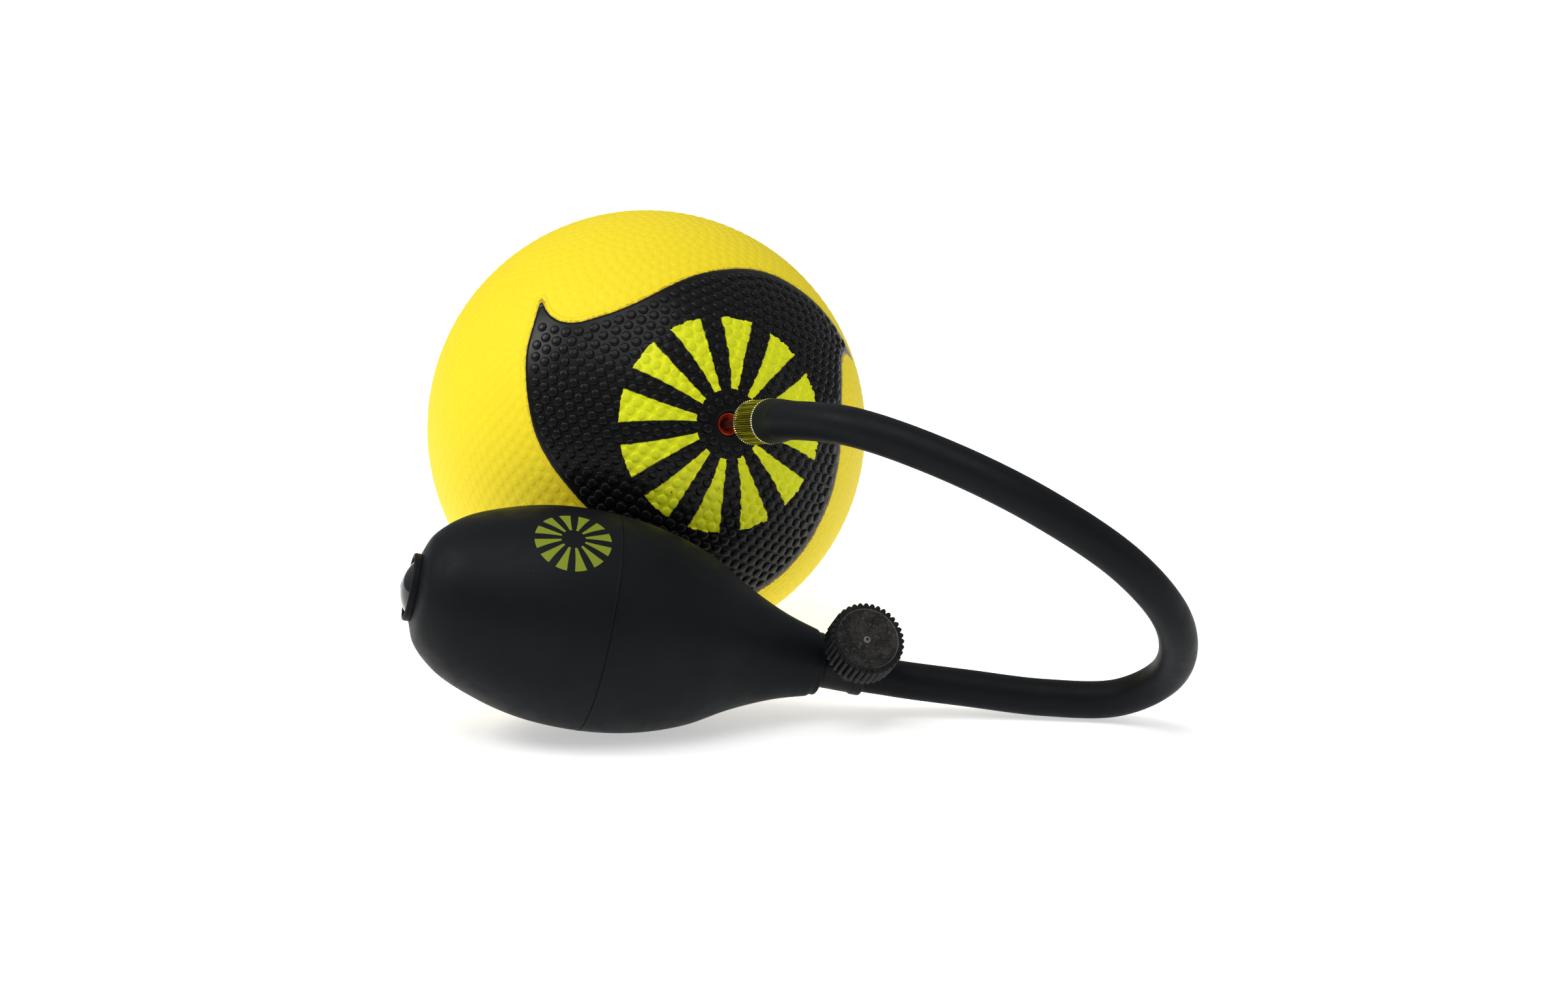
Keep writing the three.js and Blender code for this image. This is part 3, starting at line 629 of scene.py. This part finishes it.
def metal(name, base, tarnish, rough):
    """Turned metal with tarnish in random patches and a fine grain."""
    n = Nodes(name, Metallic=1.0)
    cloud = n.between(n.noise(400, 4, 0.6), 0.35, 0.75)
    n.set("Base Color", n.mix(cloud, base, tarnish))
    n.set("Roughness", n.between(n.noise(900, 3), 0.3, 0.7, *rough))
    n.set("Normal", n.bump(n.noise(5000, 2), 0.00002, 0.4))
    return n.material


def brass_finish():
    """Yellow brass, with painted shade between the ridges and a painted highlight on the crests of its
    rims.
    """
    s = settings("fitting")
    n = Nodes("connector_brass", Metallic=1.0)
    split, turn = n.round_axis(VALVE)
    lines = n.add(
        "ShaderNodeCombineXYZ",
        {0: n.times(turn, 16.0), 1: n.times(split[2], 0.12), 2: 0.0},
    )
    streak = n.math("SUBTRACT", n.noise(1.0, 4, 0.7, lines.outputs[0]), 0.5)
    ridge = n.attribute("ridge")
    # painted shade: the ridge attribute darkens the grooves between the knurl's ridges, mixed with
    # streaky wear along the crests
    wear_and_groove_shade = n.between(n.math("MULTIPLY_ADD", streak, 1.5, ridge), 0.15, 0.75)
    cloud = n.between(n.noise(500, 4, 0.6), 0.35, 0.75)
    bright = n.mix(cloud, s.brass, (0.56, 0.52, 0.10))
    # painted shade: the grooves go near black
    shade = n.mix(wear_and_groove_shade, (0.045, 0.040, 0.006), bright)
    # painted highlight: the ridge crests on both rims are painted pale, standing in for glints on the
    # knurled chamfers
    near_back = n.between(split[2], CONNECTOR_BACK + 0.5, CONNECTOR_BACK + 0.8, 1.0, 0.0)
    near_front = n.between(split[2], CONNECTOR_FRONT - 0.8, CONNECTOR_FRONT - 0.5)
    rim = n.times(n.math("ADD", near_back, near_front), ridge)
    n.set("Base Color", n.mix(rim, shade, (0.88, 0.86, 0.70)))
    n.set("Roughness", n.blend(wear_and_groove_shade, 0.45, 0.18))
    n.set("Normal", n.bump(n.noise(4000, 2), 0.00003, 0.4))
    return n.material


def moulded_plastic(name, base, lighter, rough, coat=0.0):
    n = Nodes(name, Specular_IOR_Level=0.14, Coat_Weight=coat, Coat_Roughness=0.05)
    cloud = n.between(n.noise(90, 4, 0.6), 0.35, 0.75)
    n.set("Base Color", n.mix(cloud, base, lighter))
    n.set("Roughness", n.between(n.noise(600, 4), 0.3, 0.75, *rough))
    n.set("Normal", n.bump(n.noise(2500, 3), 0.00003, 0.3))
    return n.material


def knob_plastic():
    """Black plastic, scuffed grey on its face with fine scratches from the middle outwards."""
    s = settings("fitting")
    n = Nodes("knob_plastic", Specular_IOR_Level=0.12)
    split, turn = n.round_axis(SCREW)
    out = n.away_from_axis(split)
    spokes = n.add(
        "ShaderNodeCombineXYZ",
        {0: n.times(turn, 3.5), 1: n.times(out, 0.25), 2: 0.0},
    )
    scratch = n.noise(4.0, 6, 0.75, spokes.outputs[0])
    dusty = n.between(n.noise(260, 5, 0.75), 0.38, 0.72)
    face = n.between(split[2], 19.9, 21.4)
    inside = n.between(out, 8.0, 8.6, 1.0, 0.25)
    grey = n.times(n.times(face, inside), 0.9)
    amount = n.blend(0.45, dusty, n.between(scratch, 0.4, 0.7))
    shade = n.mix(n.times(grey, amount), s.plastic, s.dust)
    specks = n.times(n.between(n.noise(1300, 3, 0.6), 0.60, 0.70, 0.0, 0.5), grey)
    shade = n.mix(specks, shade, (0.15, 0.145, 0.135))
    ring = n.math("ABSOLUTE", n.math("SUBTRACT", out, 0.68))
    ring = n.between(ring, 0.10, 0.34, 0.8, 0.0)
    rim = n.math("ABSOLUTE", n.math("SUBTRACT", out, 8.22))
    rim = n.times(n.between(rim, 0.03, 0.12, 0.7, 0.0), scratch)
    pale = n.times(n.math("MAXIMUM", ring, rim), face)
    shade = n.mix(pale, shade, (0.22, 0.21, 0.195))
    n.set("Base Color", shade)
    n.set("Roughness", n.between(scratch, 0.3, 0.7, 0.42, 0.62))
    n.set("Normal", n.bump(scratch, 0.00006, 0.5))
    return n.material


# ------------------------------------------------------------------ operators


class BALLPUMP_OT_stage(bpy.types.Operator):
    """Make the floor, the lights and the camera"""

    bl_idname = "ball_pump.stage"
    bl_label = "Stage"

    def execute(self, context):
        s = settings("stage")
        camera = bpy.data.objects.new("camera", bpy.data.cameras.new("camera"))
        camera.data.lens = s.lens
        camera.data.sensor_width = 36.0
        camera.location = CAMERA_PLACE
        camera.rotation_euler = (math.radians(CAMERA_TILT), 0, 0)
        context.scene.collection.objects.link(camera)
        context.scene.camera = camera
        context.scene.view_settings.view_transform = "Standard"

        floor_mesh = bpy.data.meshes.new("floor")
        bm = bmesh.new()
        bmesh.ops.create_grid(bm, x_segments=1, y_segments=1, size=FLOOR_REACH)
        bm.to_mesh(floor_mesh)
        bm.free()
        glowing_floor = Nodes("stage_paper", Roughness=0.9, Specular_IOR_Level=0.0)
        glowing_floor.set("Base Color", (0.92, 0.92, 0.92))
        glowing_floor.set("Emission Color", (1.0, 1.0, 1.0))
        away = glowing_floor.add("ShaderNodeVectorMath", {0: glowing_floor.place}, operation="LENGTH")
        depth = glowing_floor.add("ShaderNodeSeparateXYZ", {0: glowing_floor.place}).outputs[1]
        # painted light: the floor glows like a lamp; it glows less in front, where the shadow falls,
        # and more far away
        near = glowing_floor.between(depth, -0.105, -0.05, 0.44, 0.66)
        far = glowing_floor.between(away.outputs[1], 0.3, 2.5, 0.58, 0.72)
        glow = glowing_floor.blend(glowing_floor.between(away.outputs[1], 0.13, 0.36), near, far)
        glowing_floor.set("Emission Strength", glow)
        floor_mesh.materials.append(glowing_floor.material)
        floor = bpy.data.objects.new("floor", floor_mesh)
        context.scene.collection.objects.link(floor)

        world = bpy.data.worlds.new("studio")
        world.use_nodes = True
        tree = world.node_tree
        sky = tree.nodes["Background"]
        sky.inputs["Color"].default_value = (1.0, 1.0, 1.0, 1.0)
        direction = tree.nodes.new("ShaderNodeTexCoord").outputs["Generated"]
        split = tree.nodes.new("ShaderNodeSeparateXYZ")
        ramp = tree.nodes.new("ShaderNodeMapRange")
        for key, number in enumerate(SKY, 1):
            ramp.inputs[key].default_value = number
        tree.links.new(direction, split.inputs[0])
        tree.links.new(split.outputs[2], ramp.inputs[0])
        tree.links.new(ramp.outputs[0], sky.inputs["Strength"])
        context.scene.world = world

        for name, place, width, power in LIGHTS:
            light = bpy.data.lights.new(name, "AREA")
            light.shape = "SQUARE"
            light.size = width
            light.energy = power
            lamp = bpy.data.objects.new(name, light)
            lamp.location = place
            aim = Vector(LIGHTS_AIM) - lamp.location
            lamp.rotation_euler = aim.to_track_quat("-Z", "Y").to_euler()
            context.scene.collection.objects.link(lamp)
        return {"FINISHED"}


class BALLPUMP_OT_hose(bpy.types.Operator):
    """Make the rubber hose from the connector round to the release valve"""

    bl_idname = "ball_pump.hose"
    bl_label = "Hose"

    def execute(self, context):
        s = settings("hose")
        leads = [0.0, HOSE_LEAD, 2 * HOSE_LEAD]
        start = [VALVE @ Vector((0, 0, HOSE_EXIT * MM + d)) for d in leads]
        end = [PUMP @ Vector((0, 0, HOSE_ARRIVAL * MM + d)) for d in reversed(leads)]
        line = smooth_line(start + [Vector(p) for p in HOSE_ROUTE] + end, LINE_STEPS)
        travelled = [0.0]
        for a, b in zip(line, line[1:]):
            travelled.append(travelled[-1] + (b - a).length)
        curve = bpy.data.curves.new("hose_line", "CURVE")
        curve.dimensions = "3D"
        curve.bevel_depth = s.diameter / 2
        curve.bevel_resolution = 14
        curve.use_fill_caps = True
        curve.twist_mode = "MINIMUM"
        spline = curve.splines.new("POLY")
        spline.points.add(len(line) - 1)
        for point, place, done in zip(spline.points, line, travelled):
            point.co = (*place, 1.0)
            left = travelled[-1] - done
            point.radius = 1 + self.swelling(done, *SWELLING_AT_EXIT)
            point.radius += self.swelling(left, *SWELLING_AT_ARRIVAL)
        spline.use_smooth = True
        rubber = soft_rubber("hose_rubber", s.rubber, (0.0066, 0.0078, 0.0096))
        curve.materials.append(rubber.material)
        hose = dress("hose_tube", curve, "pump_line", ("hose",))
        return {"FINISHED"}

    @staticmethod
    def swelling(distance, most, reach):
        """The most at a barb, easing to 0 at reach from it."""
        t = min(distance / reach, 1.0)
        return most * (1 - t * t * (3 - 2 * t))


class BALLPUMP_OT_ball(bpy.types.Operator):
    """Make the ball's skin with its valve hole, and mark the black panels on it"""

    bl_idname = "ball_pump.ball"
    bl_label = "Ball skin"

    def execute(self, context):
        s = settings("ball")
        radius = s.skin_radius / MM
        hole, lip, inner = 3.3, 0.7, 61.0
        rings, inner_rings, lip_steps, segments = 168, 22, 5, 320
        outline = []
        first = math.asin(hole / inner)
        for k in range(inner_rings + 1):
            a = math.pi + (first - math.pi) * k / inner_rings
            outline.append((inner * math.sin(a), inner * math.cos(a)))
        outline[0] = (0.0, -inner)
        edge = math.sqrt(radius**2 - (hole + lip) ** 2)
        for k in range(lip_steps + 1):
            a = math.pi / 2 * k / lip_steps
            outline.append((hole + lip * (1 - math.cos(a)), edge - lip * (1 - math.sin(a))))
        first = math.asin((hole + lip) / radius)
        for k in range(1, rings + 1):
            a = first + (math.pi - first) * k / rings
            outline.append((radius * math.sin(a), radius * math.cos(a)))
        outline[-1] = (0.0, -radius)
        bm = spun(outline, segments)
        skin = piece(
            "ball_cover", bm, VALVE, "ball", ball_rubber(), ("ball_skin",), sharp=60,
        )
        store(skin.data, "panel", panel_depth(coordinates(skin.data)))
        rest_on_floor(skin.data)
        return {"FINISHED"}


class BALLPUMP_OT_pebbles(bpy.types.Operator):
    """Cover the ball with moulded pebbles, in rows that follow the panels"""

    bl_idname = "ball_pump.pebbles"
    bl_label = "Pebbles"

    def execute(self, context):
        s = settings("ball")
        centres = self.centres(s)
        depth = panel_depth(centres)
        level = centres[:, 2]
        groups = {
            "pebbles_black": depth > 0,
            "pebbles_yellow_upper": (depth <= 0) & (level >= BALL_CENTRE.z),
            "pebbles_yellow_lower": (depth <= 0) & (level < BALL_CENTRE.z),
        }
        rubber = bpy.data.materials["ball_rubber"]
        for name, chosen in groups.items():
            tall = s.pebble_height if name == "pebbles_black" else s.soft_pebble_height
            self.pebbles(name, centres[chosen], depth[chosen], rubber, s.pebble_radius, tall)
        return {"FINISHED"}

    @staticmethod
    def centres(s):
        """Evenly spread places on the ball, clear of the borders and the valve."""
        radius, pitch = s.skin_radius, s.pebble_pitch
        number = round(4 * math.pi * radius**2 / (pitch**2 * math.sqrt(3) / 2))
        k = np.arange(number) + 0.5
        level = 1 - 2 * k / number
        turn = k * math.pi * (3 - math.sqrt(5))
        flat = np.sqrt(1 - level**2)
        points = np.stack([flat * np.cos(turn), flat * np.sin(turn), level], 1)
        points = points * radius + np.array(BALL_CENTRE)
        fence = tree_of(BALLPUMP_OT_pebbles.fences(s))
        clear = [fence.find(p)[2] > pitch * FENCE_CLEARANCE for p in points]
        points = points[clear]
        centre = np.array(BALL_CENTRE)
        reach = pitch * PEBBLE_REACH
        fence_reach = reach * FENCE_REACH
        for _ in range(SPREADING_STEPS):
            tree = tree_of(points)
            push = np.zeros_like(points)
            for i, p in enumerate(points):
                here = Vector(p)
                for near, j, gap in tree.find_range(p, reach):
                    if j != i:
                        push[i] += (here - near) / gap * (reach - gap)
                for near, j, gap in fence.find_range(p, fence_reach):
                    push[i] += (here - near) / gap * (fence_reach - gap)
            points += push * SPREADING_PUSH
            out = points - centre
            points = centre + out / np.linalg.norm(out, axis=1)[:, None] * radius
        return points

    @staticmethod
    def fences(s):
        """Points along both panels' borders and round the valve, which pebbles keep clear of."""
        fixed = []
        border = panel_border()
        for side in (1, -1):
            places = []
            for x, y in border:
                out = math.radians(math.hypot(x, y))
                turn = math.atan2(y, x) * side
                flat = math.sin(out)
                local = Vector((flat * math.cos(turn), flat * math.sin(turn), math.cos(out) * side))
                places.append(VALVE @ (local * s.skin_radius))
            for a, b in zip(places, places[1:] + places[:1]):
                steps = max(1, round((b - a).length / FENCE_SPACING))
                fixed += [a.lerp(b, k / steps) for k in range(steps)]
        ring = VALVE_FENCE_RADIUS
        for k in range(VALVE_FENCE_POINTS):
            turn = math.tau * k / VALVE_FENCE_POINTS
            local = Vector((ring * math.cos(turn), ring * math.sin(turn), s.skin_radius))
            fixed.append(VALVE @ local)
        return fixed

    @staticmethod
    def pebbles(name, centres, depth, rubber, radius, height):
        foot, top = radius / MM, height / MM
        steps = PEBBLE_CRISP if name == "pebbles_black" else PEBBLE_SOFT
        outline = [(0.0, steps[0][1] * top)]
        outline += [(foot * across, top * up) for across, up in steps]
        outline.append((0.0, top))
        one = spun(outline, PEBBLE_SEGMENTS)
        single = bpy.data.meshes.new("pebble")
        one.to_mesh(single)
        one.free()
        heights = coordinates(single)[:, 2] / (top * MM)
        crown = np.clip(heights, 0, 1)
        many = bmesh.new()
        placed = Matrix.Identity(4)
        for k, centre in enumerate(centres):
            here = Vector(centre)
            grown = 1 + PEBBLE_GROWTH * math.sin(k * PEBBLE_TURN)
            foot_frame = axis_frame(here, here - BALL_CENTRE, PEBBLE_LEAN)
            target = foot_frame @ Matrix.Diagonal((grown, grown, 1, 1))
            single.transform(target @ placed.inverted())
            placed = target
            many.from_mesh(single)
        pebbles = piece(name, many, Matrix.Identity(4), "ball", rubber, sharp=75)
        store(pebbles.data, "panel", np.repeat(depth, len(crown)))
        store(pebbles.data, "crown", np.tile(crown, len(centres)))
        rest_on_floor(pebbles.data)
        bpy.data.meshes.remove(single)


class BALLPUMP_OT_valve(bpy.types.Operator):
    """Make the valve's rubber and the inflating needle"""

    bl_idname = "ball_pump.valve"
    bl_label = "Valve and needle"

    def execute(self, context):
        r = BALL_RADIUS
        housing = profile([
            (2.0, r - 15.5), (5.5, r - 15.5, 0.5), (5.5, r - 6.1), (9.0, r - 6.1, 0.4),
            (9.0, r - 3.75), (3.05, r - 3.1), (3.05, r - 1.0, 0.12), (2.8, r - 1.05, 0.1),
            (1.9, r - 2.5, 0.4), (1.3, r - 3.7), (3.2, r - 3.7), (3.2, r - 13.9), (2.0, r - 13.9),
        ])
        piece(
            "valve_body", spun(housing, 64, closed=True), VALVE, "ball",
            valve_rubber(), ("valve_housing",),
        )
        tip = r - 20.0
        front = CONNECTOR_BACK - 1.1
        back = front - 1.8
        needle = profile([
            (0.0, tip), (0.66, tip, 0.2), (1.1, tip + 0.9, 0.3), (1.1, back - 2.2, 0.5),
            (1.9, back - 0.9, 0.5), (1.9, back), (3.2, back, 0.25), (3.2, front, 0.15),
            (2.4, front), (2.4, front + 6.5, 0.3), (0.0, front + 6.5),
        ])
        steel = metal("needle_steel", (0.34, 0.33, 0.33), (0.16, 0.155, 0.15), (0.22, 0.36))
        piece(
            "inflating_needle", spun(needle, 48), VALVE, "needle", steel,
            ("needle",),
        )
        seal = profile([
            (2.5, front + 0.2), (4.0, front + 0.2, 0.2), (4.0, front + 1.0, 0.2),
            (2.5, front + 1.0),
        ])
        rubber = soft_rubber("seal_rubber", (0.006, 0.006, 0.006), (0.010, 0.010, 0.010))
        piece(
            "needle_seal", spun(seal, 48, closed=True), VALVE, "needle_base",
            rubber.material, ("needle_washer",),
        )
        return {"FINISHED"}


class BALLPUMP_OT_connector(bpy.types.Operator):
    """Make the knurled brass connector"""

    bl_idname = "ball_pump.connector"
    bl_label = "Brass connector"

    def execute(self, context):
        s = settings("fitting")
        back, front = CONNECTOR_BACK, CONNECTOR_FRONT
        outline = profile([
            (2.5, back), (5.35, back, 0.1), (6.05, back + 0.25, 0.15), (6.05, back + 0.62, 0.1),
            (5.85, back + 0.78, 0.08), (5.85, front - 0.78, 0.08), (6.05, front - 0.62, 0.1),
            (6.05, front - 0.25, 0.15), (5.35, front, 0.1), (5.2, front, 0.1),
            (4.9, front - 0.35, 0.1), (2.2, front - 0.35), (2.2, front + 8.0, 0.2),
            (1.5, front + 8.0), (1.5, back + 6.6), (2.5, back + 6.6),
        ], steps=3)
        bm = spun(outline, s.ridges * 6, closed=True)
        draw_in(bm, self.groove)
        brass = piece(
            "brass_connector", bm, VALVE, "pump_line", brass_finish(),
            ("connector",), sharp=50,
        )
        local = seen_from_valve(coordinates(brass.data))
        turn = np.arctan2(local[:, 1], local[:, 0])
        store(brass.data, "ridge", 0.5 + 0.5 * np.cos(turn * s.ridges))
        return {"FINISHED"}

    @staticmethod
    def groove(out, turn):
        """Depth of the knurl's grooves, which start outside the bore."""
        depth, start, run_in = 0.34, 5.0, 0.5
        reach = min(max((out - start) / run_in, 0.0), 1.0)
        return depth * reach * (0.5 - 0.5 * math.cos(turn * settings("fitting").ridges))


def bulb_profile():
    """The bulb's outside between collar and neck, as (radius, distance) in millimetres."""
    s = settings("bulb")
    length, radius = s.length / MM, s.diameter / MM / 2
    points = [
        Vector(BULB_COLLAR),
        *(Vector((out * radius, along * length)) for along, out in BULB_OUTLINE),
        Vector((BULB_NECK_RADIUS, length)),
    ]
    return smooth_line(points, LINE_STEPS)


def bulb_spot(along, turn):
    """A place on the bulb and the way it faces: millimetres from the collar, degrees from the top."""
    line = bulb_profile()
    k = min(range(1, len(line) - 1), key=lambda i: abs(line[i].y - along))
    slope = (line[k + 1] - line[k - 1]).normalized()
    a = math.radians(turn)
    across = Vector((math.cos(a), math.sin(a), 0))
    place = PUMP @ ((across * line[k].x + Vector((0, 0, line[k].y))) * MM)
    normal = PUMP.to_3x3() @ (across * slope.y - Vector((0, 0, slope.x)))
    return place, normal


class BALLPUMP_OT_bulb(bpy.types.Operator):
    """Make the squeeze bulb with its collar, its neck and its mould line"""

    bl_idname = "ball_pump.bulb"
    bl_label = "Squeeze bulb"

    def execute(self, context):
        s = settings("bulb")
        length = s.length / MM
        parting = s.parting / MM
        # the collar and the neck close the ends, so the profile's own are left out
        outside = [(p.x, p.y) for p in bulb_profile()][1:-3]
        across = np.interp(parting, [y for _, y in outside], [x for x, _ in outside])
        ridge = [
            (across, parting - 0.32),
            (across + 0.05, parting - 0.14),
            (across - 0.14, parting - 0.03),
            (across - 0.14, parting + 0.03),
            (across + 0.05, parting + 0.14),
            (across, parting + 0.32),
        ]
        room = 0.6
        body = [p for p in outside if p[1] < parting - room] + ridge
        body += [p for p in outside if p[1] > parting + room]
        start = profile([
            (6.0, 9.0), (6.0, 3.0), (7.9, 3.0), (7.9, 0.0, 0.42), (8.9, 0.0, 0.55), (8.9, 1.9, 0.7),
            (8.6, 2.2, 0.2), (10.2, 2.2),
        ], steps=6)[:-1]
        neck = profile([
            body[-1], (BULB_NECK_RADIUS, length - 1.6), (BULB_NECK_RADIUS, length, 0.7),
            (5.7, length, 0.3), (5.7, length - 12.5),
        ], steps=6)[1:]
        wall, bore, first, last = 2.6, 5.7, 9.5, length - 13.0
        cavity = [(max(x - wall, bore), y) for x, y in reversed(outside) if first < y < last]
        outline = start + body + neck + cavity[::4]
        bm = spun(outline, 176, closed=True)
        bulb = piece(
            "squeeze_bulb", bm, PUMP, "pump_line", bulb_rubber(), ("bulb",),
            sharp=50,
        )
        rest_on_floor(bulb.data)
        return {"FINISHED"}


class BALLPUMP_OT_intake(bpy.types.Operator):
    """Make the glossy dome of the intake valve"""

    bl_idname = "ball_pump.intake"
    bl_label = "Intake dome"

    def execute(self, context):
        rim_radius, rim, rise, hole, wall = 7.7, 1.5, 1.9, 0.8, 0.9
        steps, inner_steps = 24, 10
        height = rim + rise
        outer = (rim_radius**2 + height**2) / (2 * height)
        middle = outer - rise
        top = [hole + 0.15 + (rim_radius - 0.25 - hole) * k / steps for k in range(steps + 1)]
        outside = [(x, middle - math.sqrt(outer**2 - x**2)) for x in top]
        inner = outer - wall
        edge = math.sqrt(inner**2 - (middle - rim) ** 2)
        under = [hole + (edge - hole) * k / inner_steps for k in range(inner_steps, -1, -1)]
        inside = [(x, middle - math.sqrt(inner**2 - x**2)) for x in under]
        lip = outside[0][1]
        outline = [(hole, lip + 0.2), *outside, (rim_radius, rim), *inside]
        black, lighter = (0.006, 0.007, 0.009), (0.009, 0.010, 0.012)
        gloss = moulded_plastic("gloss_plastic", black, lighter, (0.07, 0.13), 0.5)
        piece(
            "intake_dome", spun(outline, 96, closed=True), PUMP, "pump_line", gloss,
            ("intake_cap",),
        )
        return {"FINISHED"}


class BALLPUMP_OT_release(bpy.types.Operator):
    """Make the release valve's barrel, its boss and its scalloped knob"""

    bl_idname = "ball_pump.release"
    bl_label = "Release valve"

    def execute(self, context):
        s = settings("fitting")
        length = settings("bulb").length / MM
        plastic = moulded_plastic(
            "valve_plastic", s.plastic, (0.008, 0.008, 0.009), (0.36, 0.52)
        )
        barrel = profile([
            (1.5, length - 12.0), (5.5, length - 12.0), (5.5, length + 0.3),
            (6.1, length + 0.3, 0.35), (6.1, length + 9.0, 0.2), (6.4, length + 9.3, 0.2),
            (6.4, length + 12.0, 0.5), (2.2, length + 12.0), (2.2, length + 20.0, 0.2),
            (1.5, length + 20.0),
        ])
        piece(
            "release_barrel", spun(barrel, 72, closed=True), PUMP, "pump_line",
            plastic, ("release_body",),
        )
        boss = profile([(2.1, 2.2), (5.0, 2.2), (5.0, 14.0, 0.4), (2.1, 14.0)])
        boss = spun(boss, 64, closed=True)
        piece("screw_boss", boss, SCREW, "pump_line", plastic)
        self.knob(s)
        return {"FINISHED"}

    @staticmethod
    def knob(s):
        outer, under, face = 10.0, 14.3, 22.3
        outline = profile([
            (2.05, under), (outer, under, 0.5), (outer, face, 0.45), (8.35, face, 0.18),
            (8.15, face - 0.45, 0.15), (0.75, face - 1.05, 0.2), (0.55, face - 0.85, 0.12),
            (0.0, face - 0.85), (0.0, under + 4.7), (2.05, under + 4.7),
        ], steps=4)
        bm = spun(outline, s.scallops * 10, closed=True)
        draw_in(bm, BALLPUMP_OT_release.scallop)
        piece(
            "release_wheel", bm, SCREW, "release_knob", knob_plastic(),
            ("release_knob",), sharp=55,
        )

    @staticmethod
    def scallop(out, turn):
        """Depth of the hollows between the knob's ridges, which start at its face ring."""
        depth, start, run_in, roundness = 0.95, 8.6, 0.6, 2.2
        phase = turn * settings("fitting").scallops / math.tau
        across = 2 * abs(phase - round(phase))
        return depth * across**roundness * min(max((out - start) / run_in, 0.0), 1.0)


class BALLPUMP_OT_hidden(bpy.types.Operator):
    """Give the inner parts, which keep their CAD shapes, their finishes"""

    bl_idname = "ball_pump.hidden"
    bl_label = "Inner parts"

    def execute(self, context):
        plastic = bpy.data.materials["valve_plastic"]
        seal = bpy.data.materials["seal_rubber"]
        flaps = soft_rubber("flap_rubber", (0.08, 0.08, 0.075), (0.11, 0.11, 0.10))
        screw = metal("screw_brass", (0.60, 0.46, 0.18), (0.34, 0.26, 0.10), (0.25, 0.4))
        plug = valve_rubber()
        plug.name = "plug_rubber"
        finishes = {
            "valve_plug": plug,
            "intake_body": plastic,
            "intake_cage": plastic,
            "outlet_ring": plastic,
            "intake_flap": flaps.material,
            "outlet_flap": flaps.material,
            "release_pad": seal,
            "screw_ring": seal,
            "release_screw": screw,
        }
        for node, material in finishes.items():
            cad = frame["nodes"][node]
            cad.material_slots[0].material = material
        return {"FINISHED"}


class BALLPUMP_PT_panel(bpy.types.Panel):
    """The steps that build the ball and its pump"""

    bl_idname = "BALLPUMP_PT_panel"
    bl_label = "Pebbled ball and bulb pump"
    bl_space_type = "VIEW_3D"
    bl_region_type = "UI"
    bl_category = "Ball pump"

    def draw(self, context):
        for operator in OPERATORS:
            self.layout.operator(operator.bl_idname)
        for group, kind in SETTINGS.items():
            box = self.layout.box()
            box.label(text=group.capitalize())
            for name in kind.__annotations__:
                box.prop(settings(group), name)


OPERATORS = (
    BALLPUMP_OT_stage,
    BALLPUMP_OT_hose,
    BALLPUMP_OT_ball,
    BALLPUMP_OT_pebbles,
    BALLPUMP_OT_valve,
    BALLPUMP_OT_connector,
    BALLPUMP_OT_bulb,
    BALLPUMP_OT_intake,
    BALLPUMP_OT_release,
    BALLPUMP_OT_hidden,
)
CLASSES = (*SETTINGS.values(), *OPERATORS, BALLPUMP_PT_panel)


def register():
    for kind in CLASSES:
        bpy.utils.register_class(kind)
    for group, kind in SETTINGS.items():
        setattr(bpy.types.Scene, "ball_pump_" + group, bpy.props.PointerProperty(type=kind))


def unregister():
    for group in SETTINGS:
        delattr(bpy.types.Scene, "ball_pump_" + group)
    for kind in reversed(CLASSES):
        bpy.utils.unregister_class(kind)


def main():
    register()
    for operator in OPERATORS:
        family, name = operator.bl_idname.split(".")
        getattr(getattr(bpy.ops, family), name)()


if __name__ == "__main__":
    main()
